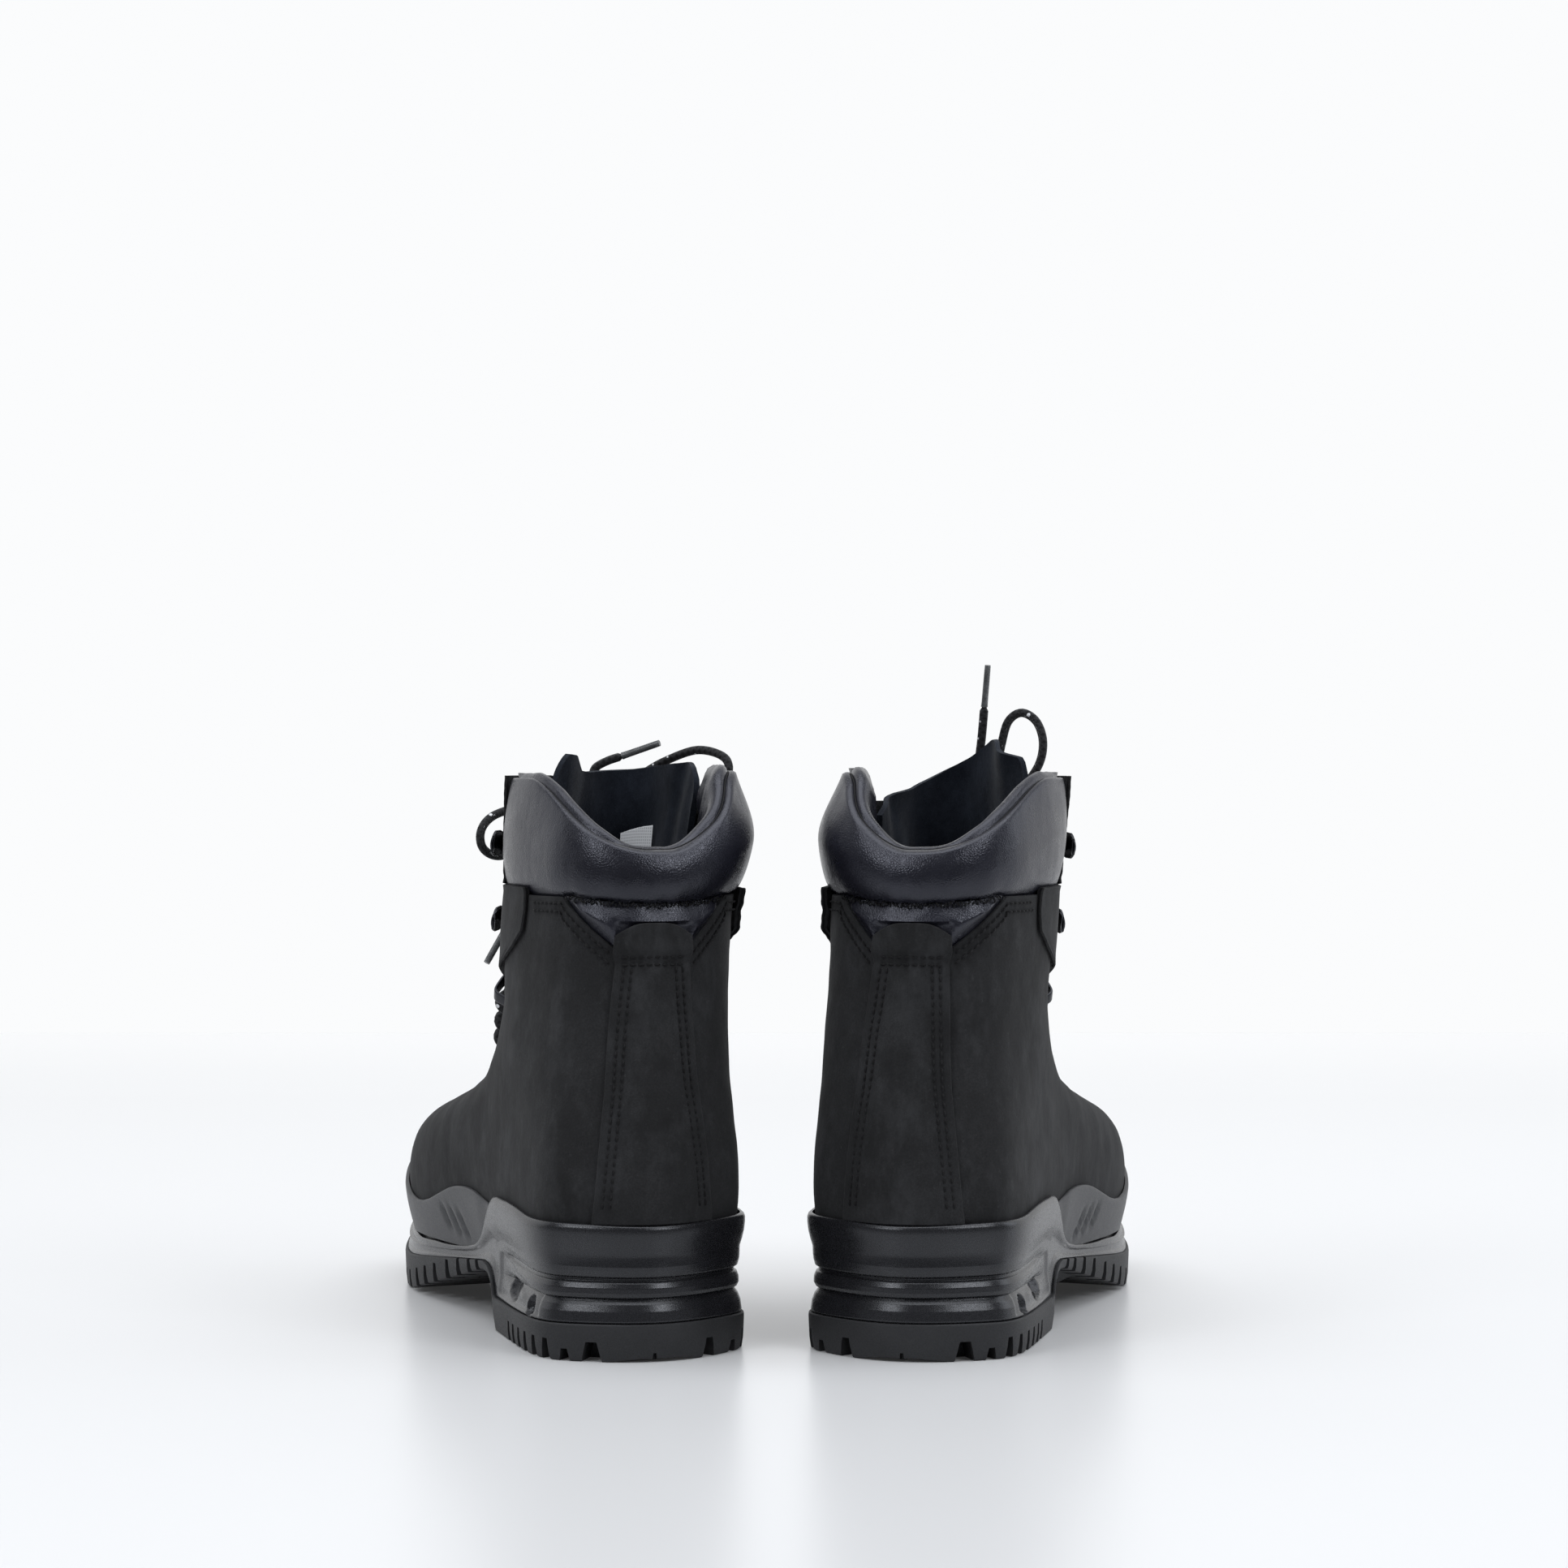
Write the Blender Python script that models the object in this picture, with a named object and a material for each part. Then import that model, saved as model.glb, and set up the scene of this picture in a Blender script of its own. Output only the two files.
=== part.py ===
"""A pair of lace-up leather hiking boots, toes splayed outward, laces tied.

Each boot is described in its own frame in millimetres: y = 0 at the rear of the
heel and +y towards the toe, z = 0 on the floor, +x towards the outer side of the
foot.  The leather shell follows one smooth surface through a table of rings; every
layer (upper, lining, collar, tongue, rand ...) is a patch of that surface between
two offsets along its normal.  The left boot is the mirror of the right one.
"""
import bpy
import math
import numpy as np

for old in list(bpy.data.objects):
    bpy.data.objects.remove(old, do_unlink=True)

MM = 0.001

# ------------------------------------------------------------------ placing of the pair
HEEL_X = {"left": -38.2, "right": 49.0}      # heel centres, from the middle of the footprint
HEEL_Y = -145.6                              # rear of both heels
YAW = {"left": 19.0, "right": -16.4}         # toe-out angles, degrees
SIGN = {"left": -1.0, "right": 1.0}

# ------------------------------------------------------------------ shape of the last and shaft
# y back, y front, z back, z front, x front, outer half widths (heel, waist, ball, toe), inner ones
RINGS = (
    (9.0, 290.0, 30.0, 24.0, -10, (35.0, 33.0, 38.0, 16.0), (36.0, 28.0, 45.0, 33.0)),
    (3.5, 296.0, 50.0, 44.0, -10, (38.5, 38.0, 42.0, 20.0), (40.5, 34.0, 50.0, 38.0)),
    (3.5, 282.0, 72.0, 66.0, -9, (38.5, 39.0, 41.0, 17.0), (41.5, 38.0, 47.0, 33.0)),
    (6.5, 240.0, 95.0, 80.0, -8, (37.5, 38.0, 33.0, 12.0), (41.5, 40.0, 40.0, 27.0)),
    (10.0, 200.0, 118.0, 93.0, -8, (36.5, 37.0, 21.0, 7.0), (41.5, 41.0, 30.0, 21.0)),
    (13.0, 166.0, 140.0, 115.0, -8, (36.5, 36.5, 23.0, 8.0), (42.0, 42.0, 32.0, 22.0)),
    (14.0, 142.0, 160.0, 145.0, -9, (36.5, 38.0, 30.0, 10.0), (43.0, 44.0, 37.0, 26.0)),
    (13.0, 130.0, 180.0, 180.0, -11, (36.0, 38.5, 33.0, 12.0), (45.0, 48.0, 42.0, 30.0)),
    (11.0, 124.0, 200.0, 212.0, -12, (36.0, 39.5, 36.0, 14.0), (47.5, 50.5, 45.0, 32.0)),
    (9.0, 120.0, 220.0, 240.0, -12, (36.0, 40.0, 37.0, 15.0), (49.0, 52.0, 46.0, 33.0)),
)
LEAN_Z, LEAN_X = (0, 110, 160, 200, 240), (0, 0, 2.3, 4.8, 6.5)   # both soft shafts lean the same way

SOLE = (0.0, 300.0, 0.0, 0.0, -10, (41.0, 38.5, 43.5, 20.5), (42.5, 34.0, 51.0, 39.0))
# Underside and top of the tread along the boot: heel block, high arch, contact under the ball, toe spring.
TREAD_Y = (0, 95, 98, 102, 107, 114, 122, 150, 180, 200, 215, 228, 242, 255, 270, 285, 300)
TREAD_LOW = (0, 0, 11, 16.5, 19.5, 20.5, 20, 14.5, 8, 4, 1, 0, 0, 1.2, 4, 8, 12.5)
TREAD_TOP = (14, 12.8, 16, 20.5, 23.3, 24.2, 23.8, 21.5, 18.5, 16.5, 15.3, 15, 15.2, 16, 18, 21, 25)
GAP = 0.3                                    # clearance between neighbouring pieces

UPPER_THICK = 2.0
STIFF_OUT, STIFF_IN = -2.3, -3.6             # toe puff and heel counter
LINING_OUT, LINING_IN = -3.9, -6.0
SEAM_Z = 171.0                               # lower seam of the padded collar
THROAT_V = 3.7                               # where the vamp ends and the lacing starts
THROAT_Z = (89.0, 100.0, 114.0, 126.0, 157.0, 188.0, 215.0)
THROAT_HALF = (10.0, 12.0, 17.0, 23.0, 29.0, 31.0, 30.0)
FACING_WIDE, FACING_THICK = 19.0, 1.7
RIM_LOW, RIM_RISE = 188.6, 30.0              # the dip at the back of the collar

LACE_D = 3.5
RING_WIRE, RING_BAR, RING_REACH, RING_TILT = 2.0, 11.0, 8.0, 28.0
RING_Z = (98.0, 106.5, 115.5)                # pivots of the three D-rings of a row
HOOK_Z = (128.0, 157.0, 188.0)               # closed hook, then two open hooks
N_SIDE = 13                                  # mesh columns from the throat to the heel
HARD_S = 10.0                                # hardware line, from the throat's edge


# ------------------------------------------------------------------ tied lace: knot, bow loops and ends
KNOT = (2.0, 208.0, 5.6)                     # s, z and height of the knot over the surface
KNOT_SIZE = np.array([8.0, 4.2, 4.6])
AGLET = (17.0, 2.8)
CORDS = {
    "left": {
        "loop_1": ((-4.5, 134, 207.5), (4, 137, 207), (16, 137, 204), (29, 133, 200), (35, 129, 194),
                   (34, 129, 187), (26, 133, 184),
                   (14, 138, 189), (4, 140, 196), (-5, 139, 201.5)),
        "loop_2": ((-25, 134, 211.5), (-32, 133, 216), (-41, 127, 222), (-52, 117, 226.5), (-60, 106, 223),
                   (-59, 104, 215), (-48, 114, 209),
                   (-36, 127, 206), (-26, 134, 205.5)),
        "end_1": ((-13, 134.5, 214), (-14, 135.5, 219), (-18, 132, 222), (-23, 128, 224)),
        "end_2": ((-10, 139, 202), (-2, 143, 195), (4, 145.5, 184), (10, 148, 172), (15, 149, 162),
                  (19.5, 147.5, 155)),
    },
    "right": {
        "loop_1": ((4, 137.5, 213), (6, 138, 220), (8, 137, 229), (11, 136, 238), (16.5, 136, 241.5),
                   (22.5, 136, 238), (25.5, 135, 230),
                   (24, 135, 221), (18, 136, 213), (9.5, 137, 208.5)),
        "loop_2": ((-15.5, 136, 210), (-28, 137, 209), (-40, 134, 204), (-50, 129, 197), (-47, 128, 190),
                   (-37, 131, 190), (-25, 137, 196),
                   (-14.5, 140, 202)),
        "end_1": ((-3, 137.5, 214.5), (-1.5, 137, 222), (0.5, 134, 232), (2, 132, 243.5)),
        "end_2": ((-3.5, 140, 201.5), (-6, 145, 193), (-11, 148.5, 181), (-15, 150, 170)),
    },
}


# ------------------------------------------------------------------ surface
def ring_points(row, lean):
    yb, yf, zb, zf, xf, outer, inner = row

    def side(widths, s):
        heel, waist, ball, toe = widths
        y1, y2 = yb + 0.30 * heel, yb + 1.05 * heel
        y5 = yf - 0.45 * abs(s * toe - xf)
        y3, y4 = y2 + (y5 - y2) * 0.36, y2 + (y5 - y2) * 0.72
        return [(s * 0.72 * heel, y1), (s * heel, y2), (s * waist, y3), (s * ball, y4), (s * toe, y5)]

    flat = [(xf, yf)] + side(outer, 1)[::-1] + [(0.0, yb)] + side(inner, -1)
    out = []
    for x, y in flat:
        t = min(max((y - yb) / (yf - yb), 0.0), 1.0)
        z = zb + (zf - zb) * 0.5 * (t + t * t * (3 - 2 * t))
        out.append((x + lean * np.interp(z, LEAN_Z, LEAN_X), y, z))
    return out


def basis(t, slope):
    if slope:
        return np.stack([-3 * (1 - t) ** 2, 9 * t ** 2 - 12 * t, -9 * t ** 2 + 6 * t + 3, 3 * t ** 2], -1) / 6
    middle = (3 * t ** 3 - 6 * t ** 2 + 4, -3 * t ** 3 + 3 * t ** 2 + 3 * t + 1)
    return np.stack([(1 - t) ** 3, middle[0], middle[1], t ** 3], -1) / 6


class Surface:
    """u runs round the boot from the toe by the outer side (0.5 at the heel), v up the rings."""

    def __init__(self, rows, lean):
        net = np.array([ring_points(row, lean) for row in rows])
        self.rows, self.cols = net.shape[:2]
        around = np.zeros((self.cols, self.cols))
        for i in range(self.cols):
            around[i, i], around[i, i - 1], around[i, (i + 1) % self.cols] = 4, 1, 1
        net = np.linalg.solve(around / 6, net.transpose(1, 0, 2).reshape(self.cols, -1))
        net = net.reshape(self.cols, self.rows, 3).transpose(1, 0, 2)
        if self.rows > 1:
            up = np.zeros((self.rows, self.rows))
            for i in range(self.rows):
                up[i, i] = 4
                up[i, max(i - 1, 0)] += 1
                up[i, min(i + 1, self.rows - 1)] += 1
            up[0], up[-1] = 0, 0
            up[0, 0] = up[-1, -1] = 6
            net = np.linalg.solve(up / 6, net.reshape(self.rows, -1)).reshape(self.rows, self.cols, 3)
            net = np.concatenate([2 * net[:1] - net[1:2], net, 2 * net[-1:] - net[-2:-1]], 0)
        else:
            net = np.concatenate([net] * 4, 0)
        self.net = net
        self.us, self.vs = np.linspace(0, 1, 241), np.linspace(0, max(self.rows - 1, 1), 181)
        self.table = self.at(self.us[None, :], self.vs[:, None])

    def at(self, u, v, du=0, dv=0):
        u, v = np.broadcast_arrays(np.asarray(u, float), np.asarray(v, float))
        uu = (u % 1.0) * self.cols
        i = np.floor(uu).astype(int)
        vv = np.clip(v, 0, max(self.rows - 1, 1) - 1e-9)
        j = np.floor(vv).astype(int)
        bu, bv = basis(uu - i, du), basis(vv - j, dv)
        out = 0
        for a in range(4):
            for b in range(4):
                out = out + (bv[..., a] * bu[..., b])[..., None] * self.net[j + a, (i - 1 + b) % self.cols]
        return out

    def normal(self, u, v):
        n = np.cross(self.at(u, v, dv=1), self.at(u, v, du=1))
        return n / np.linalg.norm(n, axis=-1, keepdims=True)

    def off(self, u, v, h):
        return self.at(u, v) + self.normal(u, v) * np.asarray(h, float)[..., None]

    def v_at(self, u, z):
        u, z = np.broadcast_arrays(np.asarray(u, float), np.asarray(z, float))
        out = np.empty(u.shape)
        for k in np.ndindex(u.shape):
            uu = (u[k] % 1) * 240
            i = int(uu)
            column = self.table[:, i, 2] * (1 - uu + i) + self.table[:, min(i + 1, 240), 2] * (uu - i)
            out[k] = np.interp(z[k], column, self.vs)
        return out

    def u_arc(self, v, s, back=False):
        """u at s mm round from the front centre line (or the back one), + to the outer side."""
        v, s = np.broadcast_arrays(np.asarray(v, float), np.asarray(s, float))
        out = np.empty(v.shape)
        for k in np.ndindex(v.shape):
            vv = v[k] / (self.rows - 1) * 180
            i = int(min(vv, 179))
            ring = self.table[i] * (1 - vv + i) + self.table[i + 1] * (vv - i)
            run = np.concatenate([[0], np.cumsum(np.linalg.norm(np.diff(ring, axis=0), axis=1))])
            if back:
                out[k] = np.interp(run[120] - s[k], run, self.us)
            elif s[k] >= 0:
                out[k] = np.interp(s[k], run, self.us)
            else:
                out[k] = np.interp(run[-1] + s[k], run, self.us) - 1
        return out

    def place(self, s, z, back=False):
        """(u, v) at height z, s mm round from the front or back centre line."""
        s, z = np.broadcast_arrays(np.asarray(s, float), np.asarray(z, float))
        u = np.full(s.shape, 0.5 if back else 0.0)
        for _ in range(4):
            v = self.v_at(u, z)
            u = self.u_arc(v, s, back)
        return u, self.v_at(u, z)


def smooth(t):
    t = np.clip(t, 0, 1)
    return t * t * (3 - 2 * t)


def edge_s(z):
    """Half width of the throat at height z."""
    return np.interp(z, THROAT_Z, THROAT_HALF)


def rim_z(s):
    """Top edge of the collar, s mm round from the back centre, + to the outer side."""
    s = np.asarray(s, float)
    return RIM_LOW + RIM_RISE * smooth((np.abs(s) - 3) / np.where(s > 0, 60, 50))


# ------------------------------------------------------------------ sole profile along the boot
def tread_z(y):
    y = np.asarray(y, float)
    return np.interp(y, TREAD_Y, TREAD_LOW) + 1.2 * smooth((5 - y) / 5)


def tread_top(y):
    return np.interp(np.asarray(y, float), TREAD_Y, TREAD_TOP)


CUP_Y = (0, 40, 70, 86, 93, 105, 115, 126, 146, 180, 207, 230, 260, 300)
CUP_Z = (50, 51.5, 53.5, 53, 50.5, 43.4, 37.5, 32.5, 28, 24.8, 24, 24.5, 28, 36)
RAND_Y = (98, 104, 112, 122, 136, 150, 165, 185, 205, 235, 265, 300)
RAND_Z = (47.5, 48.6, 50, 51.5, 52, 51, 47.5, 42, 39.5, 43, 50, 56)


# ------------------------------------------------------------------ mesh helpers
def shell(outer, inner, keep=None, wrap=False):
    """Closed solid between two grids of points, (rows, columns, 3); keep marks the cells used."""
    rows, cols = outer.shape[:2]
    last = cols if wrap else cols - 1
    quads = []
    for i in range(rows - 1):
        for j in range(last):
            if keep is None or keep[i][j]:
                k = (j + 1) % cols
                a, b, c, d = i * cols + j, (i + 1) * cols + j, (i + 1) * cols + k, i * cols + k
                quads += [(a, b, c), (a, c, d)]
    edges = {}
    for q in quads:
        for a, b in zip(q, q[1:] + q[:1]):
            edges[(a, b)] = True
    n = rows * cols
    faces = list(quads) + [tuple(v + n for v in q[::-1]) for q in quads]
    for a, b in edges:
        if (b, a) not in edges:
            faces.append((b, a, a + n, b + n))
    return np.concatenate([outer.reshape(-1, 3), inner.reshape(-1, 3)]), faces


def tube_rings(rings, caps=True):
    """Loft through closed rings (list of (n, 3)), with ladder caps at both ends."""
    n = len(rings[0])
    points = np.concatenate(rings)
    faces = []
    for i in range(len(rings) - 1):
        for j in range(n):
            k = (j + 1) % n
            faces.append((i * n + j, i * n + k, (i + 1) * n + k, (i + 1) * n + j))
    if caps:
        end = (len(rings) - 1) * n
        for base, turn in ((0, -1), (end, 1)):
            half = n // 2
            for j in range(half):
                a, b, c, d = j, j + 1, (n - j - 1) % n, (n - j) % n
                for f in ((a, b, c), (a, c, d)):
                    if len(set(f)) == 3:
                        faces.append(tuple(base + v for v in f[::turn]))
    return points, faces


def sweep(path, radius, sides=8, closed=False, radii=None):
    """Round tube along a list of points."""
    path = np.asarray(path, float)
    n = len(path)
    if closed:
        tangent = np.roll(path, -1, 0) - np.roll(path, 1, 0)
    else:
        tangent = np.gradient(path, axis=0)
    tangent /= np.linalg.norm(tangent, axis=1, keepdims=True)
    up = np.cross(tangent[0], (0.3, 0.2, 0.93))
    up /= np.linalg.norm(up)
    rings = []
    for i in range(n):
        up = up - tangent[i] * np.dot(up, tangent[i])
        up /= np.linalg.norm(up)
        side = np.cross(tangent[i], up)
        r = radius if radii is None else radii[i]
        a = np.arange(sides) / sides * 2 * math.pi
        rings.append(path[i] + r * (np.cos(a)[:, None] * up + np.sin(a)[:, None] * side))
    if not closed:
        return tube_rings(rings)
    points, faces = tube_rings(rings, caps=False)
    first, end = rings[0], rings[-1]
    shift = int(np.argmin([np.linalg.norm(np.roll(first, -k, 0) - end) for k in range(sides)]))
    base = (n - 1) * sides
    for j in range(sides):
        k = (j + 1) % sides
        faces.append((base + j, base + k, (k + shift) % sides, (j + shift) % sides))
    return points, faces


def prism(profile, origin, ex, ey, ez, half):
    """Extrude a closed profile (x, y pairs, anticlockwise) along ez by +-half."""
    pts = np.array([origin + ex * x + ey * y for x, y in profile])
    n = len(pts)
    points = np.concatenate([pts - ez * half, pts + ez * half])
    faces = [tuple(range(n))[::-1], tuple(range(n, 2 * n))]
    for j in range(n):
        k = (j + 1) % n
        faces.append((j, k, n + k, n + j))
    return points, faces


def signed_volume(points, faces):
    total = 0.0
    for f in faces:
        for i in range(1, len(f) - 1):
            total += np.dot(points[f[0]], np.cross(points[f[i]], points[f[i + 1]]))
    return total


def facing_out(geometry):
    points, faces = geometry
    if signed_volume(points - points.mean(0), faces) < 0:
        faces = [f[::-1] for f in faces]
    return points, faces


def frame_prism(outer, inner, origin, ex, ey, ez, half):
    """A prism with a through hole; both profiles have the same number of points."""
    n = len(outer)
    rings = []
    for prof, h in ((outer, -half), (outer, half), (inner, half), (inner, -half)):
        rings.append(np.array([origin + ex * x + ey * y + ez * h for x, y in prof]))
    points = np.concatenate(rings)
    faces = []
    for i in range(4):
        a, b = i * n, ((i + 1) % 4) * n
        for j in range(n):
            k = (j + 1) % n
            faces.append((a + j, a + k, b + k, b + j))
    return facing_out((points, faces))


def joined(parts):
    points, faces, base = [], [], 0
    for p, f in map(facing_out, parts):
        points.append(np.asarray(p))
        faces += [tuple(v + base for v in q) for q in f]
        base += len(p)
    return np.concatenate(points), faces


def smooth_path(points, step):
    """Points every step mm along a smooth curve through the given ones."""
    p = np.concatenate([2 * points[:1] - points[1:2], points, 2 * points[-1:] - points[-2:-1]])
    out = []
    for i in range(1, len(p) - 2):
        for t in np.linspace(0, 1, 12, endpoint=False):
            line = 2 * p[i] + (p[i + 1] - p[i - 1]) * t
            curve = (2 * p[i - 1] - 5 * p[i] + 4 * p[i + 1] - p[i + 2]) * t ** 2
            out.append(0.5 * (line + curve + (3 * p[i] - p[i - 1] - 3 * p[i + 1] + p[i + 2]) * t ** 3))
    out = np.array(out + [p[-2]])
    run = np.concatenate([[0], np.cumsum(np.linalg.norm(np.diff(out, axis=0), axis=1))])
    at = np.linspace(0, run[-1], max(int(run[-1] / step), 4) + 1)
    return np.stack([np.interp(at, run, out[:, k]) for k in range(3)], -1)


MATERIALS = {}


def material(name, color, rough, metal=0.0):
    if name not in MATERIALS:
        mat = bpy.data.materials.new(name)
        mat.use_nodes = True
        shader = mat.node_tree.nodes["Principled BSDF"]
        shader.inputs["Base Color"].default_value = (*color, 1)
        shader.inputs["Roughness"].default_value = rough
        shader.inputs["Metallic"].default_value = metal
        MATERIALS[name] = mat
    return MATERIALS[name]


COLORS = {
    "outsole_rubber": ((0.014, 0.014, 0.015), 0.7, 0), "midsole_pu": ((0.022, 0.022, 0.024), 0.4, 0),
    "rand_rubber": ((0.03, 0.03, 0.032), 0.5, 0), "board": ((0.30, 0.25, 0.18), 0.9, 0),
    "spring_steel": ((0.35, 0.35, 0.36), 0.35, 1), "footbed_felt": ((0.05, 0.05, 0.055), 0.95, 0),
    "nubuck": ((0.025, 0.026, 0.029), 0.9, 0), "smooth_leather": ((0.04, 0.041, 0.046), 0.42, 0),
    "stiffener": ((0.55, 0.5, 0.4), 0.8, 0), "lining_textile": ((0.014, 0.014, 0.016), 0.95, 0),
    "suede": ((0.02, 0.021, 0.026), 0.98, 0), "dark_metal": ((0.05, 0.05, 0.055), 0.3, 1),
    "polished_metal": ((0.6, 0.6, 0.62), 0.2, 1), "lace_textile": ((0.012, 0.012, 0.013), 0.85, 0),
    "aglet_plastic": ((0.16, 0.16, 0.17), 0.25, 0),
}


def make(name, geometry, side, slot, parent, shift=(0.0, 0.0, 0.0), hidden=False):
    """Object from millimetre points of one boot; shift is the parent's own place in that frame."""
    points, faces = facing_out(geometry)
    points = (np.asarray(points, float) - np.asarray(shift, float)) * MM
    if SIGN[side] < 0:
        points[:, 0] *= -1
        faces = [f[::-1] for f in faces]
    used = sorted({v for f in faces for v in f})
    index = {v: i for i, v in enumerate(used)}
    mesh = bpy.data.meshes.new(name)
    mesh.from_pydata([tuple(points[v]) for v in used], [], [tuple(index[v] for v in f) for f in faces])
    mesh.update()
    obj = bpy.data.objects.new(name, mesh)
    obj.data.materials.append(material(slot, *COLORS[slot]))
    bpy.context.scene.collection.objects.link(obj)
    obj.parent = parent
    obj.hide_render = hidden
    return obj


def boolean(obj, other, how):
    other.hide_render = True
    other.hide_set(True)
    mod = obj.modifiers.new(how.lower(), "BOOLEAN")
    mod.operation, mod.object, mod.solver = how, other, "EXACT"


def empty(name, parent, location=(0, 0, 0), axis=None):
    obj = bpy.data.objects.new(name, None)
    if axis is not None:
        obj["hinge_axis"] = [float(x) for x in axis]
    obj.empty_display_size = 0.02
    bpy.context.scene.collection.objects.link(obj)
    obj.parent = parent
    obj.location = location
    return obj


def half_columns(n_side):
    """u fractions symmetric about toe and heel."""
    return np.concatenate([np.linspace(0, 0.5, n_side + 1), np.linspace(0.5, 1, n_side + 1)[1:-1]])


def flat_outline(surface, u, v, inset):
    """Ring of plan points moved inwards, horizontally."""
    p = surface.at(u, v)[:, :2]
    t = surface.at(u, v, du=1)[:, :2]
    n = np.stack([-t[:, 1], t[:, 0]], -1)
    n /= np.linalg.norm(n, axis=1, keepdims=True)
    return p + n * np.asarray(inset).reshape(-1, 1) * -1


def slab(outline, low, high):
    low = np.column_stack([outline, low])
    high = np.column_stack([outline, high])
    return tube_rings([low, high])


# ------------------------------------------------------------------ one boot
def build(side):
    S = Surface(RINGS, SIGN[side])
    sole = Surface((SOLE,), 0.0)
    pre = side + "_"
    root = empty(pre + "boot", None, (HEEL_X[side] * MM, HEEL_Y * MM, 0))
    root.rotation_euler = (0, 0, math.radians(YAW[side]))

    # ---- outsole: one lugged rubber unit
    edge = [float(S.u_arc(THROAT_V, sgn * float(edge_s(THROAT_Z[0])))) for sgn in (1, -1)]
    f = np.arange(N_SIDE + 1) / N_SIDE
    u = np.concatenate([[0.0], edge[0] + (0.5 - edge[0]) * f, (edge[1] + (-0.5 - edge[1]) * f)[:-1][::-1]])
    fine = np.linspace(0, 1, 2401)[:-1]
    fine_y = sole.at(fine, 0.0)[:, 1]
    for half in (fine < 0.5, fine > 0.5):        # more columns where the heel block ends
        for at in (95, 98.5, 103.5, 109):
            u = np.append(u, fine[half][np.argmin(np.abs(fine_y[half] - at))])
    u = np.sort(u % 1.0)
    plan = flat_outline(sole, u, 0.0, 0.0)
    y = plan[:, 1]

    def cup_of(x):
        return np.interp(sole.at(x, 0.0)[:, 1], CUP_Y, CUP_Z)

    foot = flat_outline(sole, u, 0.0, 1.0)
    base = np.column_stack([foot, tread_z(foot[:, 1])])
    side_low = np.column_stack([plan, tread_z(y) + 1.4])
    top = np.column_stack([plan, tread_top(y)])
    outsole = make(pre + "outsole", tube_rings([base, side_low, top]), side, "outsole_rubber", root)
    ex, ey, ez = np.eye(3)
    bars = []
    for yy, wide in ((22, 4.5), (44, 4.5), (66, 4.5), (164, 5), (186, 5), (208, 5), (230, 5), (252, 5)):
        z = float(tread_z(yy))
        for x0, x1 in ((-60, -13), (13, 60)):
            bars.append(prism([(-wide / 2, -4), (wide / 2, -4), (wide / 3, 4.2), (-wide / 3, 4.2)],
                              np.array([(x0 + x1) / 2, yy, z]), ey, ez, ex, (x1 - x0) / 2))
    for x in (-13.5, 13.5):
        bars.append(prism([(-3.2, -4), (3.2, -4), (1.9, 5.2), (-1.9, 5.2)],
                          np.array([x, 0.0, 0.0]), -ex, ez, ey, 9.0))
    cutter = make(pre + "tread_cutter", joined(bars), side, "outsole_rubber", root, hidden=True)
    boolean(outsole, cutter, "DIFFERENCE")

    # ---- midsole with its heel cup
    n = len(u)
    low, high = tread_top(y) + GAP, cup_of(u)
    rings = []
    for part, inset in ((0.0, 1.0), (0.20, 2.0), (0.31, 3.6), (0.38, 2.9), (0.45, 3.6), (0.58, 1.8)):
        p = flat_outline(sole, u, 0.0, inset)
        rings.append(np.column_stack([p, low + (high - low) * part]))
    v_top = S.v_at(u, high)
    for part, out in ((0.80, 3.4), (0.97, 2.9), (1.0, 2.2)):
        z = low + (high - low) * part
        rings.append(S.off(u, np.maximum(S.v_at(u, z), 0.0), np.full(n, out)))
        rings[-1][:, 2] = z
    for part in (1.0, 0.5, 0.0):
        rings.append(S.off(u, v_top * part, np.full(n, 1.0)))
        rings[-1][:, 2] = np.maximum(rings[-1][:, 2], S.at(u, 0.0)[:, 2])
    floor = S.at(u, 0.0)[:, 2]
    rings.append(np.column_stack([flat_outline(S, u, 0.0, 0.0), floor - 0.5]))
    make(pre + "midsole", tube_rings(rings), side, "midsole_pu", root)

    # ---- inside the foot: shank, board, footbed
    u = half_columns(16)
    board = flat_outline(S, u, 0.05, UPPER_THICK + 1.2)
    z = S.at(u, 0.0)[:, 2]
    make(pre + "insole_board", slab(board, z + 1.5, z + 3.3), side, "board", root)
    bed = flat_outline(S, u, 0.15, -LINING_IN + 0.9)
    make(pre + "footbed", slab(bed, z + 3.6, z + 7.4), side, "footbed_felt", root)
    ys = np.linspace(38, 152, 9)
    strip = []
    for yy in ys:
        zz = float(np.interp(yy, S.at(u[:17], 0.0)[::-1, 1], S.at(u[:17], 0.0)[::-1, 2]))
        strip.append(np.array([(x, yy, zz + h) for x, h in ((-9, 0.0), (5, 0.0), (5, 1.1), (-9, 1.1))]))
    make(pre + "shank", tube_rings(strip), side, "spring_steel", root)

    # ---- upper and lining: full wraps with the throat left open
    u_edge = {sgn: float(S.u_arc(THROAT_V, sgn * float(edge_s(THROAT_Z[0])))) for sgn in (1, -1)}

    def across(e_out, e_in):
        """Columns: centre line, outer side from throat edge to heel, inner side back to its edge."""
        f = np.arange(N_SIDE + 1) / N_SIDE
        outer, inner = e_out + (0.5 - e_out) * f, e_in + (-0.5 - e_in) * f
        return np.concatenate([[0.0], outer, inner[:-1][::-1]])

    steps = np.linalg.norm(np.diff(S.table[140], axis=0), axis=1)
    run = np.concatenate([[0], np.cumsum(steps)])

    def s_back(u):
        return run[120] - np.interp(np.asarray(u) % 1.0, S.us, run)

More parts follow.
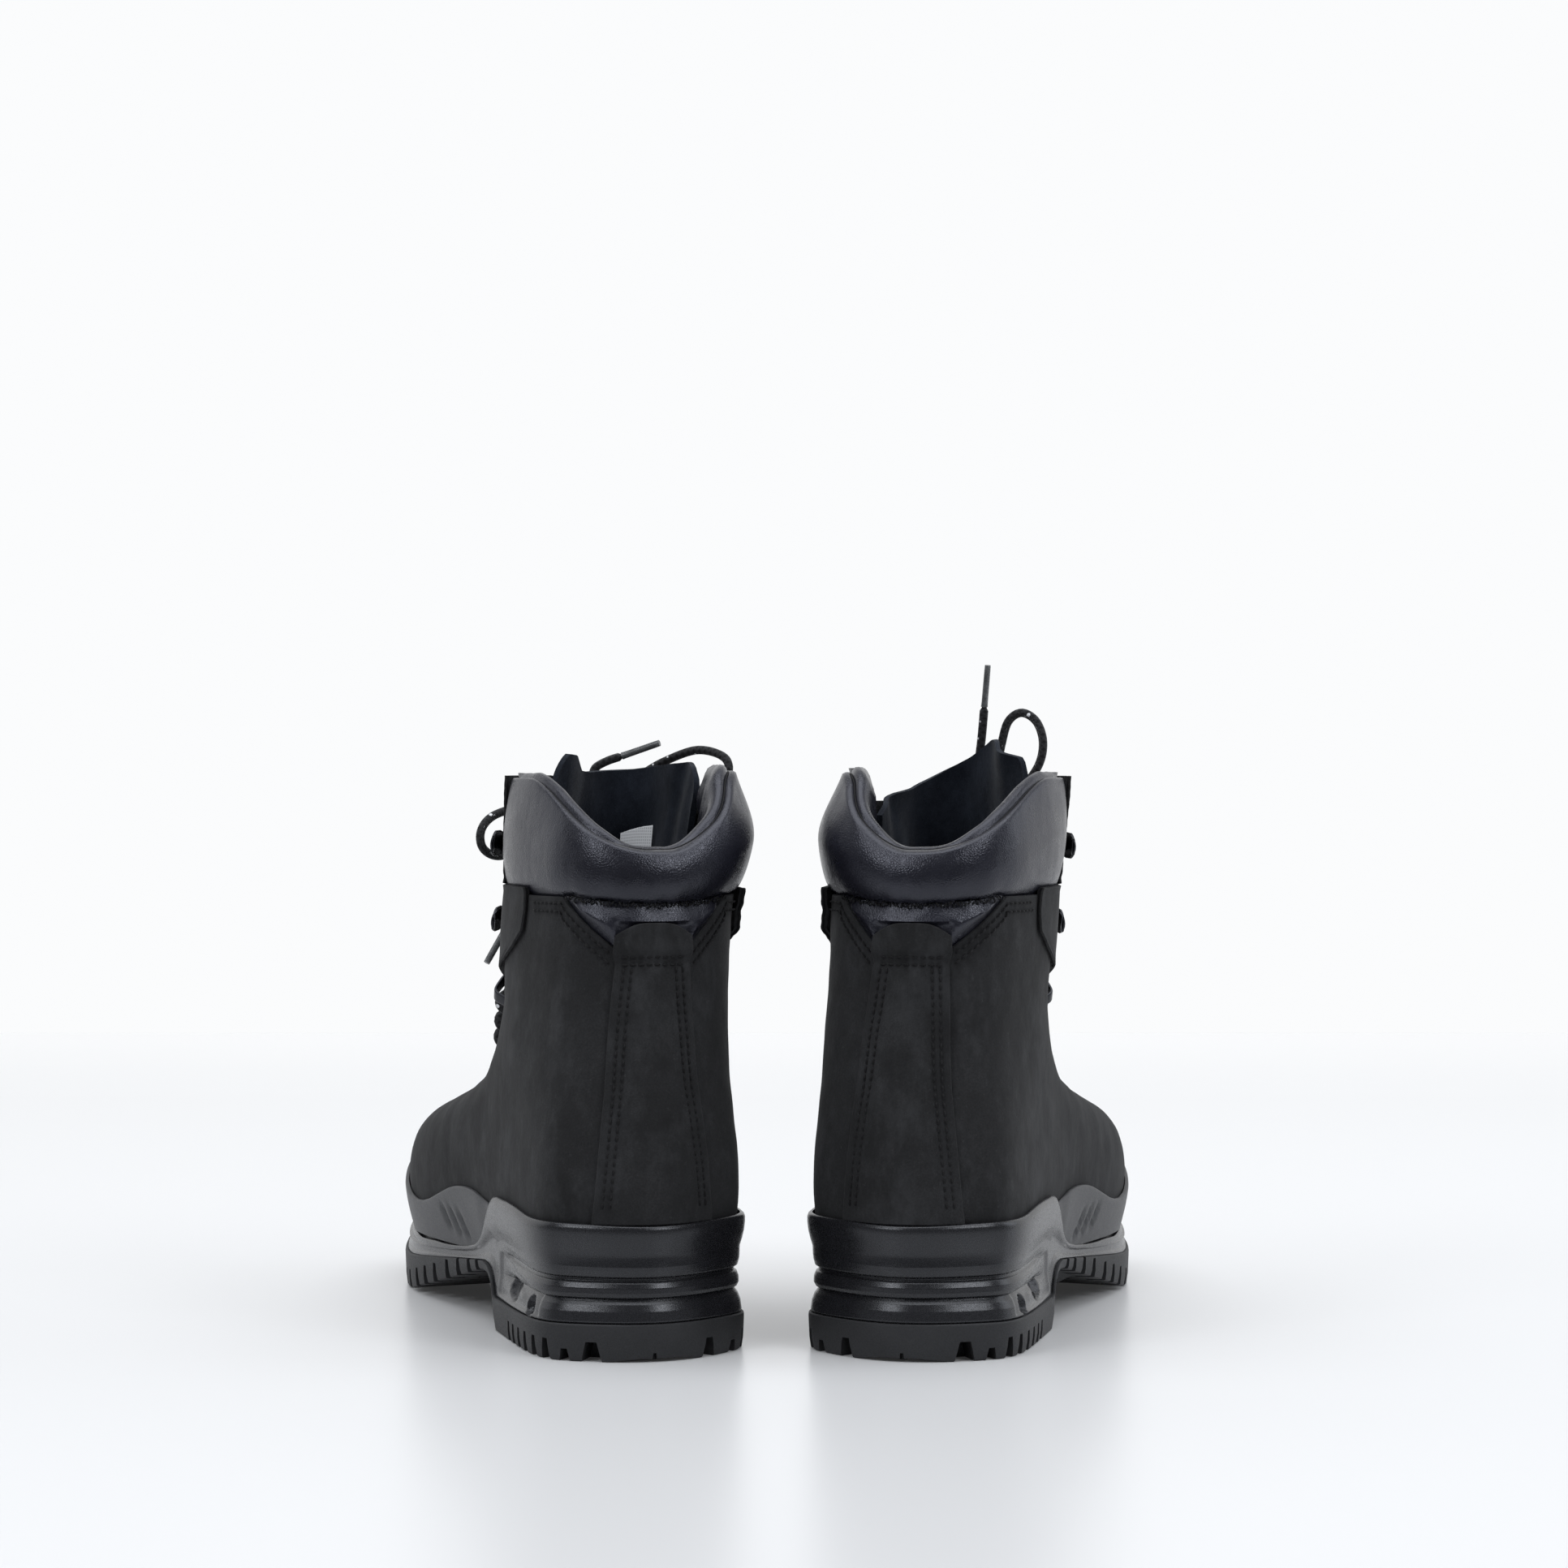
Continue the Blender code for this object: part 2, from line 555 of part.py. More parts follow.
    def high_row(level, more):
        """One row above the throat: level(u) gives its height; more widens the throat."""
        e_out, e_in = 0.05, -0.05
        for _ in range(3):
            zo, zi = float(level(e_out)), float(level(e_in))
            e_out = float(S.place(edge_s(zo) + more, zo)[0])
            e_in = float(S.place(-edge_s(zi) - more, zi)[0])
        u_row = across(e_out, e_in)
        return u_row, S.v_at(u_row, [float(level(x)) for x in u_row])

    def wrap(low_rows, levels, more):
        low_u = across(u_edge[1], u_edge[-1])
        UU, VV = [low_u] * len(low_rows), [np.full(len(low_u), v) for v in low_rows]
        for level in levels:
            r = high_row(level, more)
            UU.append(r[0]), VV.append(r[1])
        UU, VV = np.array(UU), np.array(VV)
        cols = UU.shape[1]
        keep = [[i < len(low_rows) - 1 or 0 < j < cols - 1 for j in range(cols)] for i in range(len(UU) - 1)]
        return UU, VV, keep

    def throat_z(u):
        return float(S.at(u, THROAT_V)[2])

    def notch_z(u):
        return 152.0 + (SEAM_Z - GAP - 152.0) * float(np.clip((abs(s_back(u)) - 15) / 20, 0, 1))

    low_rows = (0.03, 0.6, 1.2, 1.9, 2.6, 3.15, THROAT_V)
    upper_levels = [lambda u, f=f: throat_z(u) + (notch_z(u) - throat_z(u)) * f
                    for f in (0.12, 0.3, 0.52, 0.76, 1.0)]
    U, V, keep = wrap(low_rows, upper_levels, 0.0)
    skin = S.off(U, V, np.zeros(U.shape))
    make(pre + "upper", shell(skin, S.off(U, V, np.full(U.shape, -UPPER_THICK)), keep, True),
         side, "nubuck", root)
    notch = sorted((float(s_back(x)), float(S.at(x, w)[2])) for x, w in zip(U[-1], V[-1]))

    levels = upper_levels[:4]
    levels += [lambda u, f=f: f for f in (SEAM_Z + 0.3, 182.0)]
    levels += [lambda u: 0.5 * (182.0 + float(rim_z(s_back(u)))), lambda u: float(rim_z(s_back(u))) - 1.5]
    U, V, keep = wrap((0.3,) + low_rows[1:], levels, 10.0)
    Z = S.at(U, V)[..., 2]
    t_out = np.minimum(LINING_OUT, np.interp(Z, (172, 182), (-3.2, -6.9)))
    t_in = np.minimum(LINING_IN, t_out - 1.6)
    sock = shell(S.off(U, V, t_out), S.off(U, V, t_in), keep, True)
    make(pre + "lining", sock, side, "lining_textile", root)

    # ---- collar: padded band from the seam to the rim, from throat edge to throat edge
    levels = [lambda u, f=f: f for f in (SEAM_Z + GAP, 182.0)]
    levels += [lambda u, f=f: 182.0 + (float(rim_z(s_back(u))) - 182.0) * f for f in (0.35, 0.7, 1.0)]
    rows = [high_row(level, 0.5) for level in levels]
    U, V = np.array([r[0][1:] for r in rows]), np.array([r[1][1:] for r in rows])
    Z = S.at(U, V)[..., 2]
    rim = rim_z(s_back(U))
    near = np.minimum(np.arange(U.shape[1]), np.arange(U.shape[1])[::-1])[None, :] + 0 * U
    bulge = np.sin(math.pi * np.clip((Z - SEAM_Z) / (rim + 4 - SEAM_Z), 0, 1)) ** 0.7
    t_out = -0.4 + smooth((near - 2.2) / 2.5) * bulge * np.where(s_back(U) > 0, 2.6, 4.0)
    t_in = np.interp(Z, (172, 182), (-2.6, -6.3)) * np.interp(near, (0, 2), (0.42, 1.0))
    make(pre + "collar", shell(S.off(U, V, t_out), S.off(U, V, t_in)), side, "smooth_leather", root)

    # ---- achilles panel between the quarters' notch and the collar seam
    def back_grid(ss, heights):
        Zs = np.array([np.asarray(h, float) for h in heights]).T
        SS = np.broadcast_to(np.asarray(ss, float)[None, :], Zs.shape)
        return S.place(SS, Zs, back=True)

    ss = np.array([28, 22, 16, 8, 0, -8, -16, -22, -28.0])
    low_z = [np.interp(x, [q[0] for q in notch], [q[1] for q in notch]) + 1.2 for x in ss]
    uu, vv = back_grid(ss, [np.linspace(lz, SEAM_Z - GAP, 3) for lz in low_z])
    skin = S.off(uu, vv, np.full(uu.shape, -0.2))
    make(pre + "achilles_panel", shell(skin, S.off(uu, vv, np.full(uu.shape, -UPPER_THICK))),
         side, "smooth_leather", root)

    # backstay strip
    def stay_z(f):
        return np.linspace(52.5, 158 - 3.5 * abs(f) ** 3, 9)

    fs = np.linspace(1, -1, 7)
    Zs = np.array([stay_z(f) for f in fs]).T
    half = np.interp(Zs, (52, 100, 148, 158), (23, 17.5, 15, 13))
    SS = half * np.asarray(fs)[None, :]
    uu, vv = S.place(SS, Zs, back=True)
    strip = shell(S.off(uu, vv, np.full(SS.shape, 1.9)), S.off(uu, vv, np.full(SS.shape, 0.6)))
    make(pre + "backstay", strip, side, "nubuck", root)

    # ---- heel counter and toe puff, on the upper's own columns
    cols = across(u_edge[1], u_edge[-1])
    back = cols[N_SIDE - 3:N_SIDE + 6]
    back = np.where(back < 0, back + 1, back)
    UU, VV = np.meshgrid(back, low_rows[1:5])
    skin = S.off(UU, VV, np.full(UU.shape, STIFF_OUT))
    make(pre + "heel_counter", shell(skin, S.off(UU, VV, np.full(UU.shape, STIFF_IN))),
         side, "stiffener", root)
    front = np.concatenate([cols[-5:], cols[:6]])
    UU, VV = np.meshgrid(front, low_rows[1:5])
    skin = S.off(UU, VV, np.full(UU.shape, STIFF_OUT))
    make(pre + "toe_puff", shell(skin, S.off(UU, VV, np.full(UU.shape, STIFF_IN))),
         side, "stiffener", root)

    # ---- rand round the forefoot, standing on the midsole's edge
    order = np.arange(-7, 8)
    uu = cols[order]
    z_low = np.max([cup_of(uu - 0.02), cup_of(uu), cup_of(uu + 0.02)], axis=0) + 2.2
    z_high = np.maximum(np.interp(S.at(uu, 1.0)[:, 1], RAND_Y, RAND_Z), z_low + 2.5)
    Zs = np.array([z_low + (z_high - z_low) * f for f in (0, 0.3, 0.65, 1.0)])
    UU = np.broadcast_to(uu[None, :], Zs.shape)
    VV = S.v_at(UU, Zs)
    T = np.array([3.2, 2.8, 2.5, 1.7])[:, None] + 0 * Zs
    band = shell(S.off(UU, VV, T), S.off(UU, VV, np.full(Zs.shape, 1.1)))
    make(pre + "rand", band, side, "rand_rubber", root)

    # ---- tongue
    base_z = float(S.at(0.0, THROAT_V + 0.09)[2])
    hinge = S.off(0.0, THROAT_V + 0.09, np.array(-3.0))
    fr = (-1, -0.93, -0.86, -0.5, 0, 0.5, 0.86, 0.93, 1)
    UU, VV, TI, TO = [], [], [], []
    for i, f in enumerate(np.linspace(0, 1, 12)):
        ru, rv, ti, to = [], [], [], []
        for g in fr:
            z_top = 224 - 7 * abs(g) ** 2
            z = base_z + (z_top - base_z) * f
            e = float(edge_s(min(z, 215)))
            under = 3.0 + 4.0 * smooth(np.array(f * 4))
            tuck = 2.4 * float(1 - smooth(np.array(f * 6)))
            s = {-1: -(e + under), -0.93: -(e + 1.3 - tuck), -0.86: -(e - 1.2 - tuck), -0.5: -e * 0.5, 0: 0.0}
            s.update({-k: -v for k, v in s.items()})
            uk, vk = S.place(s[g], z)
            if i == 0:
                vk = max(float(vk), THROAT_V + 0.06)
            deep = -8.6 - 4.6 * float(smooth(np.array((z - 100) / 90)))
            deep = deep - 2.5 * float(1 - smooth(np.array(f * 5)))
            to.append(deep if abs(g) > 0.9 else (-2.9 if abs(g) > 0.8 else -0.7))
            ti.append(to[-1] - (2.5 if abs(g) > 0.9 else 4.5))
            ru.append(float(uk))
            rv.append(float(vk))
        UU.append(ru), VV.append(rv), TI.append(ti), TO.append(to)
    UU, VV, TI, TO = map(np.array, (UU, VV, TI, TO))
    pivot_at = tuple(hinge * MM * np.array([SIGN[side], 1, 1]))
    tongue_pivot = empty(pre + "tongue_pivot", root, pivot_at, (1, 0, 0))
    flap = shell(S.off(UU, VV, TO), S.off(UU, VV, TI))
    make(pre + "tongue", flap, side, "suede", tongue_pivot, shift=hinge)

    # ---- facings with hooks and ring clips, and the D-rings
    def local(sgn, z, ds):
        """Frame at the hardware line: point, to the throat, outward, up the facing."""
        s = edge_s(z) + ds
        uk, vk = S.place(sgn * s, z)
        here = S.at(uk, vk)
        n_ = S.normal(uk, vk)
        u2, v2 = S.place(sgn * (edge_s(z + 3) + ds), z + 3)
        up = S.at(u2, v2) - here
        up -= n_ * np.dot(up, n_)
        up /= np.linalg.norm(up)
        throat = np.cross(up, n_) * sgn
        u3, v3 = S.place(sgn * (s - 3), z)
        if np.dot(throat, S.at(u3, v3) - here) < 0:
            throat = -throat
        return here, throat, n_, up

    lace_spots = {}
    for sgn, row in ((1, "outer"), (-1, "inner")):
        fr = np.linspace(0, 1, 6)
        rows = [(np.full(len(cols), THROAT_V), cols)] + [high_row(level, 0.0)[::-1] for level in upper_levels]
        rows += [high_row(lambda u, f=f: f, 0.0)[::-1] for f in (182.0, 198.0, 213.0)]
        UU, VV = [], []
        for i, (v_row, u_row) in enumerate(rows):
            ordered = np.argsort(u_row)
            e = float(u_row[1] if sgn > 0 else u_row[-1])
            v_e = float(np.interp(e, u_row[ordered], v_row[ordered]))
            z = float(S.at(e, v_e)[2])
            wide = FACING_WIDE if z < 205 else FACING_WIDE - 6
            uu = [float(S.u_arc(v_e, sgn * (float(edge_s(z)) + 0.4 + wide * f))) for f in fr]
            UU.append(uu)
            lift = 0.02 if i == 0 else 0.0
            VV.append([float(np.interp(x, u_row[ordered], v_row[ordered])) + lift for x in uu])
        UU, VV = np.array(UU), np.array(VV)
        if sgn < 0:
            UU, VV = UU[:, ::-1], VV[:, ::-1]
        skin = S.off(UU, VV, np.full(UU.shape, 0.6 + FACING_THICK))
        flap = shell(skin, S.off(UU, VV, np.full(UU.shape, 0.6)))
        facing = make(pre + "facing_" + row, flap, side, "nubuck", root)
        parts = []
        top = 0.6 + FACING_THICK
        for i, z in enumerate(HOOK_Z):
            here, throat, out, up = local(sgn, z, HARD_S)
            hook = [(5.5, top - 0.5), (5.5, top + 7.6), (-4.0, top + 7.6), (-4.6, top + 6.0), (3.4, top + 6.0),
                    (3.4, top + 1.2), (-6.0, top + 1.2), (-6.0, top - 0.5)]
            if i == 0:   # closed hook: the head comes back down to the base
                hook = [(5.5, top - 0.5), (5.5, top + 7.6), (-5.8, top + 7.6), (-5.8, top - 0.5)]
                hole = [(3.4, top + 1.2), (3.4, top + 6.0), (-4.2, top + 6.0), (-4.2, top + 1.2)]
                parts.append(frame_prism(hook, hole, here, throat, out, up, 3.4))
            else:
                parts.append(facing_out(prism(hook, here, throat, out, up, 3.4)))
            lace_spots[(row, "hook%d" % i)] = (here, throat, out, up)
        for i, z in enumerate(RING_Z):
            here, throat, out, up = local(sgn, z, HARD_S + 3)
            pin = here + out * (top + 1.9)
            circle = [(2.4 * math.cos(a), 2.4 * math.sin(a)) for a in np.arange(10) / 10 * 2 * math.pi]
            bore = [(1.45 * math.cos(a), 1.45 * math.sin(a)) for a in np.arange(10) / 10 * 2 * math.pi]
            parts.append(frame_prism(circle, bore, pin, throat, out, up, 2.2))
            tilt = math.radians(RING_TILT)
            reach = throat * math.cos(tilt) + out * math.sin(tilt)
            half = RING_BAR / 2
            path = [pin + up * h for h in (-half + 0.2, -2.8, 0.0, 2.8, half - 0.2)]
            arc_r = half
            for a in np.linspace(0, math.pi, 9):
                away = RING_REACH - arc_r + arc_r * math.sin(a)
                path.append(pin + reach * away + up * arc_r * math.cos(a))
            flip = np.array([SIGN[side], 1, 1])
            swing = up * flip * np.sign(np.dot(np.cross(up * flip, reach * flip), out * flip))
            pivot = empty("%s%s_ring_%d_pivot" % (pre, row, i + 1), root, tuple(pin * MM * flip), swing)
            make("%s%s_ring_%d" % (pre, row, i + 1), facing_out(sweep(path, RING_WIRE / 2, 6, closed=True)),
                 side, "polished_metal", pivot, shift=pin)
            lace_spots[(row, "ring%d" % i)] = (here, throat, out, up, pin, reach)
        metal = make(pre + "hardware_" + row, joined(parts), side, "dark_metal", root, hidden=True)
        boolean(facing, metal, "UNION")

    # ---- lace: one length criss-crossing from the knot to the vamp and back
    def spot(s_, z, h):
        a, b = S.place(s_, z)
        return S.off(a, b, np.array(float(h)))

    def round_hook(row, i, down):
        here, a, n_, b = lace_spots[(row, "hook%d" % i)]
        pts = [(10.0, 7.0, 3.3), (5.2, 6.3, 3.6), (1.2, 5.0, 3.6), (0.9, 0.0, 3.6), (1.2, -5.0, 3.6),
               (5.2, -6.3, 3.6), (10.0, -7.0, 3.3)]
        pts = [here + a * p + b * q + n_ * (top + r) for p, q, r in pts]
        return pts if down else pts[::-1]

    def through_ring(row, i, down):
        here, a, n_, b, _, _ = lace_spots[(row, "ring%d" % i)]
        pts = [(13.0, 2.8, 5.6), (9.9, 1.6, 8.0), (7.3, 1.2, 9.3), (4.8, 0.7, 8.5), (3.6, 0.2, 6.3),
               (3.75, -0.3, 4.5), (4.9, -0.8, 2.95), (7.1, -1.2, 2.2), (12.0, -2.6, 2.3)]
        pts = [here + a * p + b * q + n_ * (top + r) for p, q, r in pts]
        return pts if down else pts[::-1]

    def cross(z0, z1, from_sign, low):
        e = float(edge_s(0.5 * (z0 + z1)))
        h = (2.6, 2.0, 2.6) if low else (5.2, 6.2, 5.2)
        way = ((0.5, 0.28, h[0]), (0.0, 0.5, h[1]), (-0.5, 0.72, h[2]))
        return [spot(from_sign * e * g, z0 + (z1 - z0) * f, hh) for g, f, hh in way]

    knot = spot(KNOT[0], KNOT[1], KNOT[2])
    down = [spot(5.0, KNOT[1], KNOT[2]), spot(12.0, KNOT[1] - 4, 4.2), spot(21.0, 199.0, 3.4)]
    steps = (("outer", "hook", 2), ("inner", "hook", 1), ("outer", "hook", 0), ("inner", "ring", 2),
             ("outer", "ring", 1), ("inner", "ring", 0))
    z_of = {"hook": HOOK_Z, "ring": RING_Z}
    mirrored = {"outer": "inner", "inner": "outer"}
    up_side = [spot(-1.0, KNOT[1], KNOT[2]), spot(-10.0, KNOT[1] - 4, 4.2), spot(-21.0, 199.0, 3.4)]
    for line, low, flip in ((down, True, False), (up_side, False, True)):
        for k, (row, kind, i) in enumerate(steps):
            r = mirrored[row] if flip else row
            line += round_hook(r, i, True) if kind == "hook" else through_ring(r, i, True)
            if k + 1 < len(steps):
                nxt = steps[k + 1]
                line += cross(z_of[kind][i] - 4.0, z_of[nxt[1]][nxt[2]] + 4.5, 1 if r == "outer" else -1, low)
    bar = [spot(-5.5, RING_Z[0] - 4.4, 2.2), spot(5.5, RING_Z[0] - 4.4, 2.2)]
    route = np.array(down + bar + up_side[::-1])
    lace = make(pre + "lace", sweep(route, LACE_D / 2, 5), side, "lace_textile", root)
    ball = []
    b = np.arange(8) / 8 * 2 * math.pi
    for a in np.linspace(0, math.pi, 7)[1:-1]:
        ring = np.stack([math.cos(a) + 0 * b, math.sin(a) * np.cos(b), math.sin(a) * np.sin(b)], -1)
        ball.append(knot + KNOT_SIZE * ring)
    boolean(lace, make(pre + "knot", tube_rings(ball), side, "lace_textile", root, hidden=True), "UNION")
    for name, points in CORDS[side].items():
        path = smooth_path(np.array(points, float), 3.6)
        if name.startswith("end"):
            tip = path[-1] + (path[-1] - path[-2]) / np.linalg.norm(path[-1] - path[-2]) * 0.4
            way = (path[-1] - path[-3]) / np.linalg.norm(path[-1] - path[-3])
            tube = sweep([tip, tip + way * AGLET[0]], AGLET[1] / 2, 8)
            make(pre + "aglet" + name[3:], tube, side, "aglet_plastic", root)
        make(pre + "lace_" + name, sweep(path, LACE_D / 2, 6), side, "lace_textile", root)


for side in ("left", "right"):
    build(side)
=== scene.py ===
import math

import bpy
import numpy as np
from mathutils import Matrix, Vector, noise


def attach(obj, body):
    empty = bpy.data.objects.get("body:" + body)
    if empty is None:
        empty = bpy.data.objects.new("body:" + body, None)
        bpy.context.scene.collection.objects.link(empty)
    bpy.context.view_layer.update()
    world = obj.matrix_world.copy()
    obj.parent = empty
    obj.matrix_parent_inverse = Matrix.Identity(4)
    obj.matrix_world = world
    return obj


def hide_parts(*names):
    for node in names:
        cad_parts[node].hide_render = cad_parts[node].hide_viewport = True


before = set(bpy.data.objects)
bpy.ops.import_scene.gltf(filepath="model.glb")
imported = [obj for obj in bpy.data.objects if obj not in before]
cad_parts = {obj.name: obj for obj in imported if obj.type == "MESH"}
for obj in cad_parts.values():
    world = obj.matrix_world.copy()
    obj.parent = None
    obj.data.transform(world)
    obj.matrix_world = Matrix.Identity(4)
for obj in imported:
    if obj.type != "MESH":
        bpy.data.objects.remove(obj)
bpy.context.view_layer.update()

MM = 0.001

# ------------------------------------------------------------------ the boots' own frame
# Each boot is made in its own frame in millimetres: y = 0 at the rear of the heel and +y towards
# the toe, z = 0 on the floor, +x towards the outer side of the foot.  The left one is mirrored.
HEEL_X = {"left": -38.2, "right": 49.0}
HEEL_Y = -145.6
YAW = {"left": 19.0, "right": -16.4}
SIGN = {"left": -1.0, "right": 1.0}

# y back, y front, z back, z front, x front, outer half widths (heel, waist, ball, toe), inner ones
RINGS = (
    (9.0, 290.0, 30.0, 24.0, -10, (35.0, 33.0, 38.0, 16.0), (36.0, 28.0, 45.0, 33.0)),
    (3.5, 296.0, 50.0, 44.0, -10, (38.5, 38.0, 42.0, 20.0), (40.5, 34.0, 50.0, 38.0)),
    (3.5, 282.0, 72.0, 66.0, -9, (38.5, 39.0, 41.0, 17.0), (41.5, 38.0, 47.0, 33.0)),
    (6.5, 240.0, 95.0, 80.0, -8, (37.5, 38.0, 33.0, 12.0), (41.5, 40.0, 40.0, 27.0)),
    (10.0, 200.0, 118.0, 93.0, -8, (36.5, 37.0, 21.0, 7.0), (41.5, 41.0, 30.0, 21.0)),
    (13.0, 166.0, 140.0, 115.0, -8, (36.5, 36.5, 23.0, 8.0), (42.0, 42.0, 32.0, 22.0)),
    (14.0, 142.0, 160.0, 145.0, -9, (36.5, 38.0, 30.0, 10.0), (43.0, 44.0, 37.0, 26.0)),
    (13.0, 130.0, 180.0, 180.0, -11, (36.0, 38.5, 33.0, 12.0), (45.0, 48.0, 42.0, 30.0)),
    (11.0, 124.0, 200.0, 212.0, -12, (36.0, 39.5, 36.0, 14.0), (47.5, 50.5, 45.0, 32.0)),
    (9.0, 120.0, 220.0, 240.0, -12, (36.0, 40.0, 37.0, 15.0), (49.0, 52.0, 46.0, 33.0)),
)
LEAN_Z, LEAN_X = (0, 110, 160, 200, 240), (0, 0, 2.3, 4.8, 6.5)
SOLE = (0.0, 300.0, 0.0, 0.0, -10, (41.0, 38.5, 43.5, 20.5), (42.5, 34.0, 51.0, 39.0))
# Underside and top of the tread along the boot: heel block, high arch, contact under the ball, toe spring.
TREAD_Y = (0, 95, 97, 98, 100, 102, 107, 114, 122, 150, 180, 200, 215, 228, 242, 255, 270, 285, 300)
TREAD_LOW = (0, 0, 4, 11, 15, 17.5, 20.3, 21.2, 20.5, 14.5, 8, 4, 1, 0, 0, 1.2, 4, 8, 12.5)
TREAD_TOP = (14, 12.8, 14, 16.5, 19.5, 21.6, 24, 24.8, 24.2, 21.5, 18.5, 16.5, 15.3, 15, 15.2, 16, 18,
             21, 25)

UPPER_THICK = 2.0
SEAM_Z = 171.0                   # the collar's bottom seam
SEAM_SAG, SEAM_HALF = 2.6, 34.0  # and how it hangs over the heel
NOTCH_Z = 152.0                  # the quarters' top edge behind the pull tab
THROAT_V = 3.7
THROAT_Z = (89.0, 100.0, 114.0, 126.0, 157.0, 188.0, 215.0)
THROAT_HALF = (10.0, 12.0, 17.0, 23.0, 29.0, 31.0, 30.0)
FACING_THICK = 1.7
FACING_TOP = 0.6 + FACING_THICK
RIM_LOW, RIM_RISE = 187.4, {"outer": 27.2, "inner": 29.2}
LACE_D = 3.5
RING_WIRE, RING_BAR, RING_REACH, RING_TILT = 2.0, 11.0, 8.0, 28.0
RING_Z = (98.0, 106.5, 115.5)
HOOK_Z = (128.0, 157.0, 188.0)
HARD_S = 10.0

KNOT = (2.0, 208.0, 5.6)
AGLET = (17.0, 2.8)
CORDS = {
    "left": {
        "loop_1": ((-4.5, 134, 207.5), (4, 137, 207), (16, 137, 204), (29, 133, 200), (35, 129, 194),
                   (34, 129, 187), (26, 133, 184), (14, 138, 189), (4, 140, 196), (-5, 139, 201.5)),
        "loop_2": ((-25, 134, 211.5), (-32, 133, 216), (-41, 127, 222), (-52, 117, 226.5), (-60, 106, 223),
                   (-59, 104, 215), (-48, 114, 209), (-36, 127, 206), (-26, 134, 205.5)),
        "end_1": ((-13, 134.5, 214), (-14, 135.5, 219), (-18, 132, 222), (-23, 128, 224)),
        "end_2": ((-10, 139, 202), (-2, 143, 195), (4, 145.5, 184), (10, 148, 172), (15, 149, 162),
                  (19.5, 147.5, 155)),
    },
    "right": {
        "loop_1": ((4, 137.5, 213), (6, 138, 220), (8, 137, 229), (11, 136, 238), (16.5, 136, 241.5),
                   (22.5, 136, 238), (25.5, 135, 230), (24, 135, 221), (18, 136, 213), (9.5, 137, 208.5)),
        "loop_2": ((-15.5, 136, 210), (-28, 137, 209), (-40, 134, 204), (-50, 129, 197), (-47, 128, 190),
                   (-37, 131, 190), (-25, 137, 196), (-14.5, 140, 202)),
        "end_1": ((-3, 137.5, 214.5), (-1.5, 137, 222), (0.5, 134, 232), (2, 132, 243.5)),
        "end_2": ((-3.5, 140, 201.5), (-6, 145, 193), (-11, 148.5, 181), (-15, 150, 170)),
    },
}
# top edge of each tongue: s round from the front centre line, height
TONGUE_TOP = {
    "left": ((-66, 196), (-60, 208), (-57, 213), (-50, 218.5), (-42, 221.5), (-29, 221.5), (-17, 220),
             (-8, 218.7), (14, 218), (21, 219), (25, 222.5), (28, 225.5), (35, 226), (39, 221),
             (44, 212), (52, 200)),
    "right": ((-66, 198), (-50, 205), (-33, 210), (-22, 211.5), (0, 221), (6, 223.6), (14, 228.5),
              (18, 230.8), (24, 230.2), (30, 227.2), (44, 223.9), (46.5, 218), (52, 204)),
}


def ring_points(row, lean):
    """Control points of one ring of the last, from the toe by the outer side to the heel and back."""
    yb, yf, zb, zf, xf, outer, inner = row

    def side(widths, s):
        heel, waist, ball, toe = widths
        y1, y2 = yb + 0.30 * heel, yb + 1.05 * heel
        y5 = yf - 0.45 * abs(s * toe - xf)
        y3, y4 = y2 + (y5 - y2) * 0.36, y2 + (y5 - y2) * 0.72
        return [(s * 0.72 * heel, y1), (s * heel, y2), (s * waist, y3), (s * ball, y4), (s * toe, y5)]

    flat = [(xf, yf)] + side(outer, 1)[::-1] + [(0.0, yb)] + side(inner, -1)
    out = []
    for x, y in flat:
        t = min(max((y - yb) / (yf - yb), 0.0), 1.0)
        z = zb + (zf - zb) * 0.5 * (t + t * t * (3 - 2 * t))
        out.append((x + lean * np.interp(z, LEAN_Z, LEAN_X), y, z))
    return out


def basis(t, slope):
    """Weights of a uniform cubic B-spline at t, or of its slope."""
    if slope:
        return np.stack([-3 * (1 - t) ** 2, 9 * t**2 - 12 * t, -9 * t**2 + 6 * t + 3, 3 * t**2], -1) / 6
    return np.stack([(1 - t) ** 3, 3 * t**3 - 6 * t**2 + 4, -3 * t**3 + 3 * t**2 + 3 * t + 1, t**3], -1) / 6


def interp_rows(x, rows, ys):
    """np.interp of each x in a rising row of its own."""
    k = np.clip((rows < x[:, None]).sum(1), 1, rows.shape[1] - 1)
    n = np.arange(len(x))
    low, high = rows[n, k - 1], rows[n, k]
    f = np.clip((x - low) / np.maximum(high - low, 1e-9), 0, 1)
    return ys[k - 1] + (ys[k] - ys[k - 1]) * f


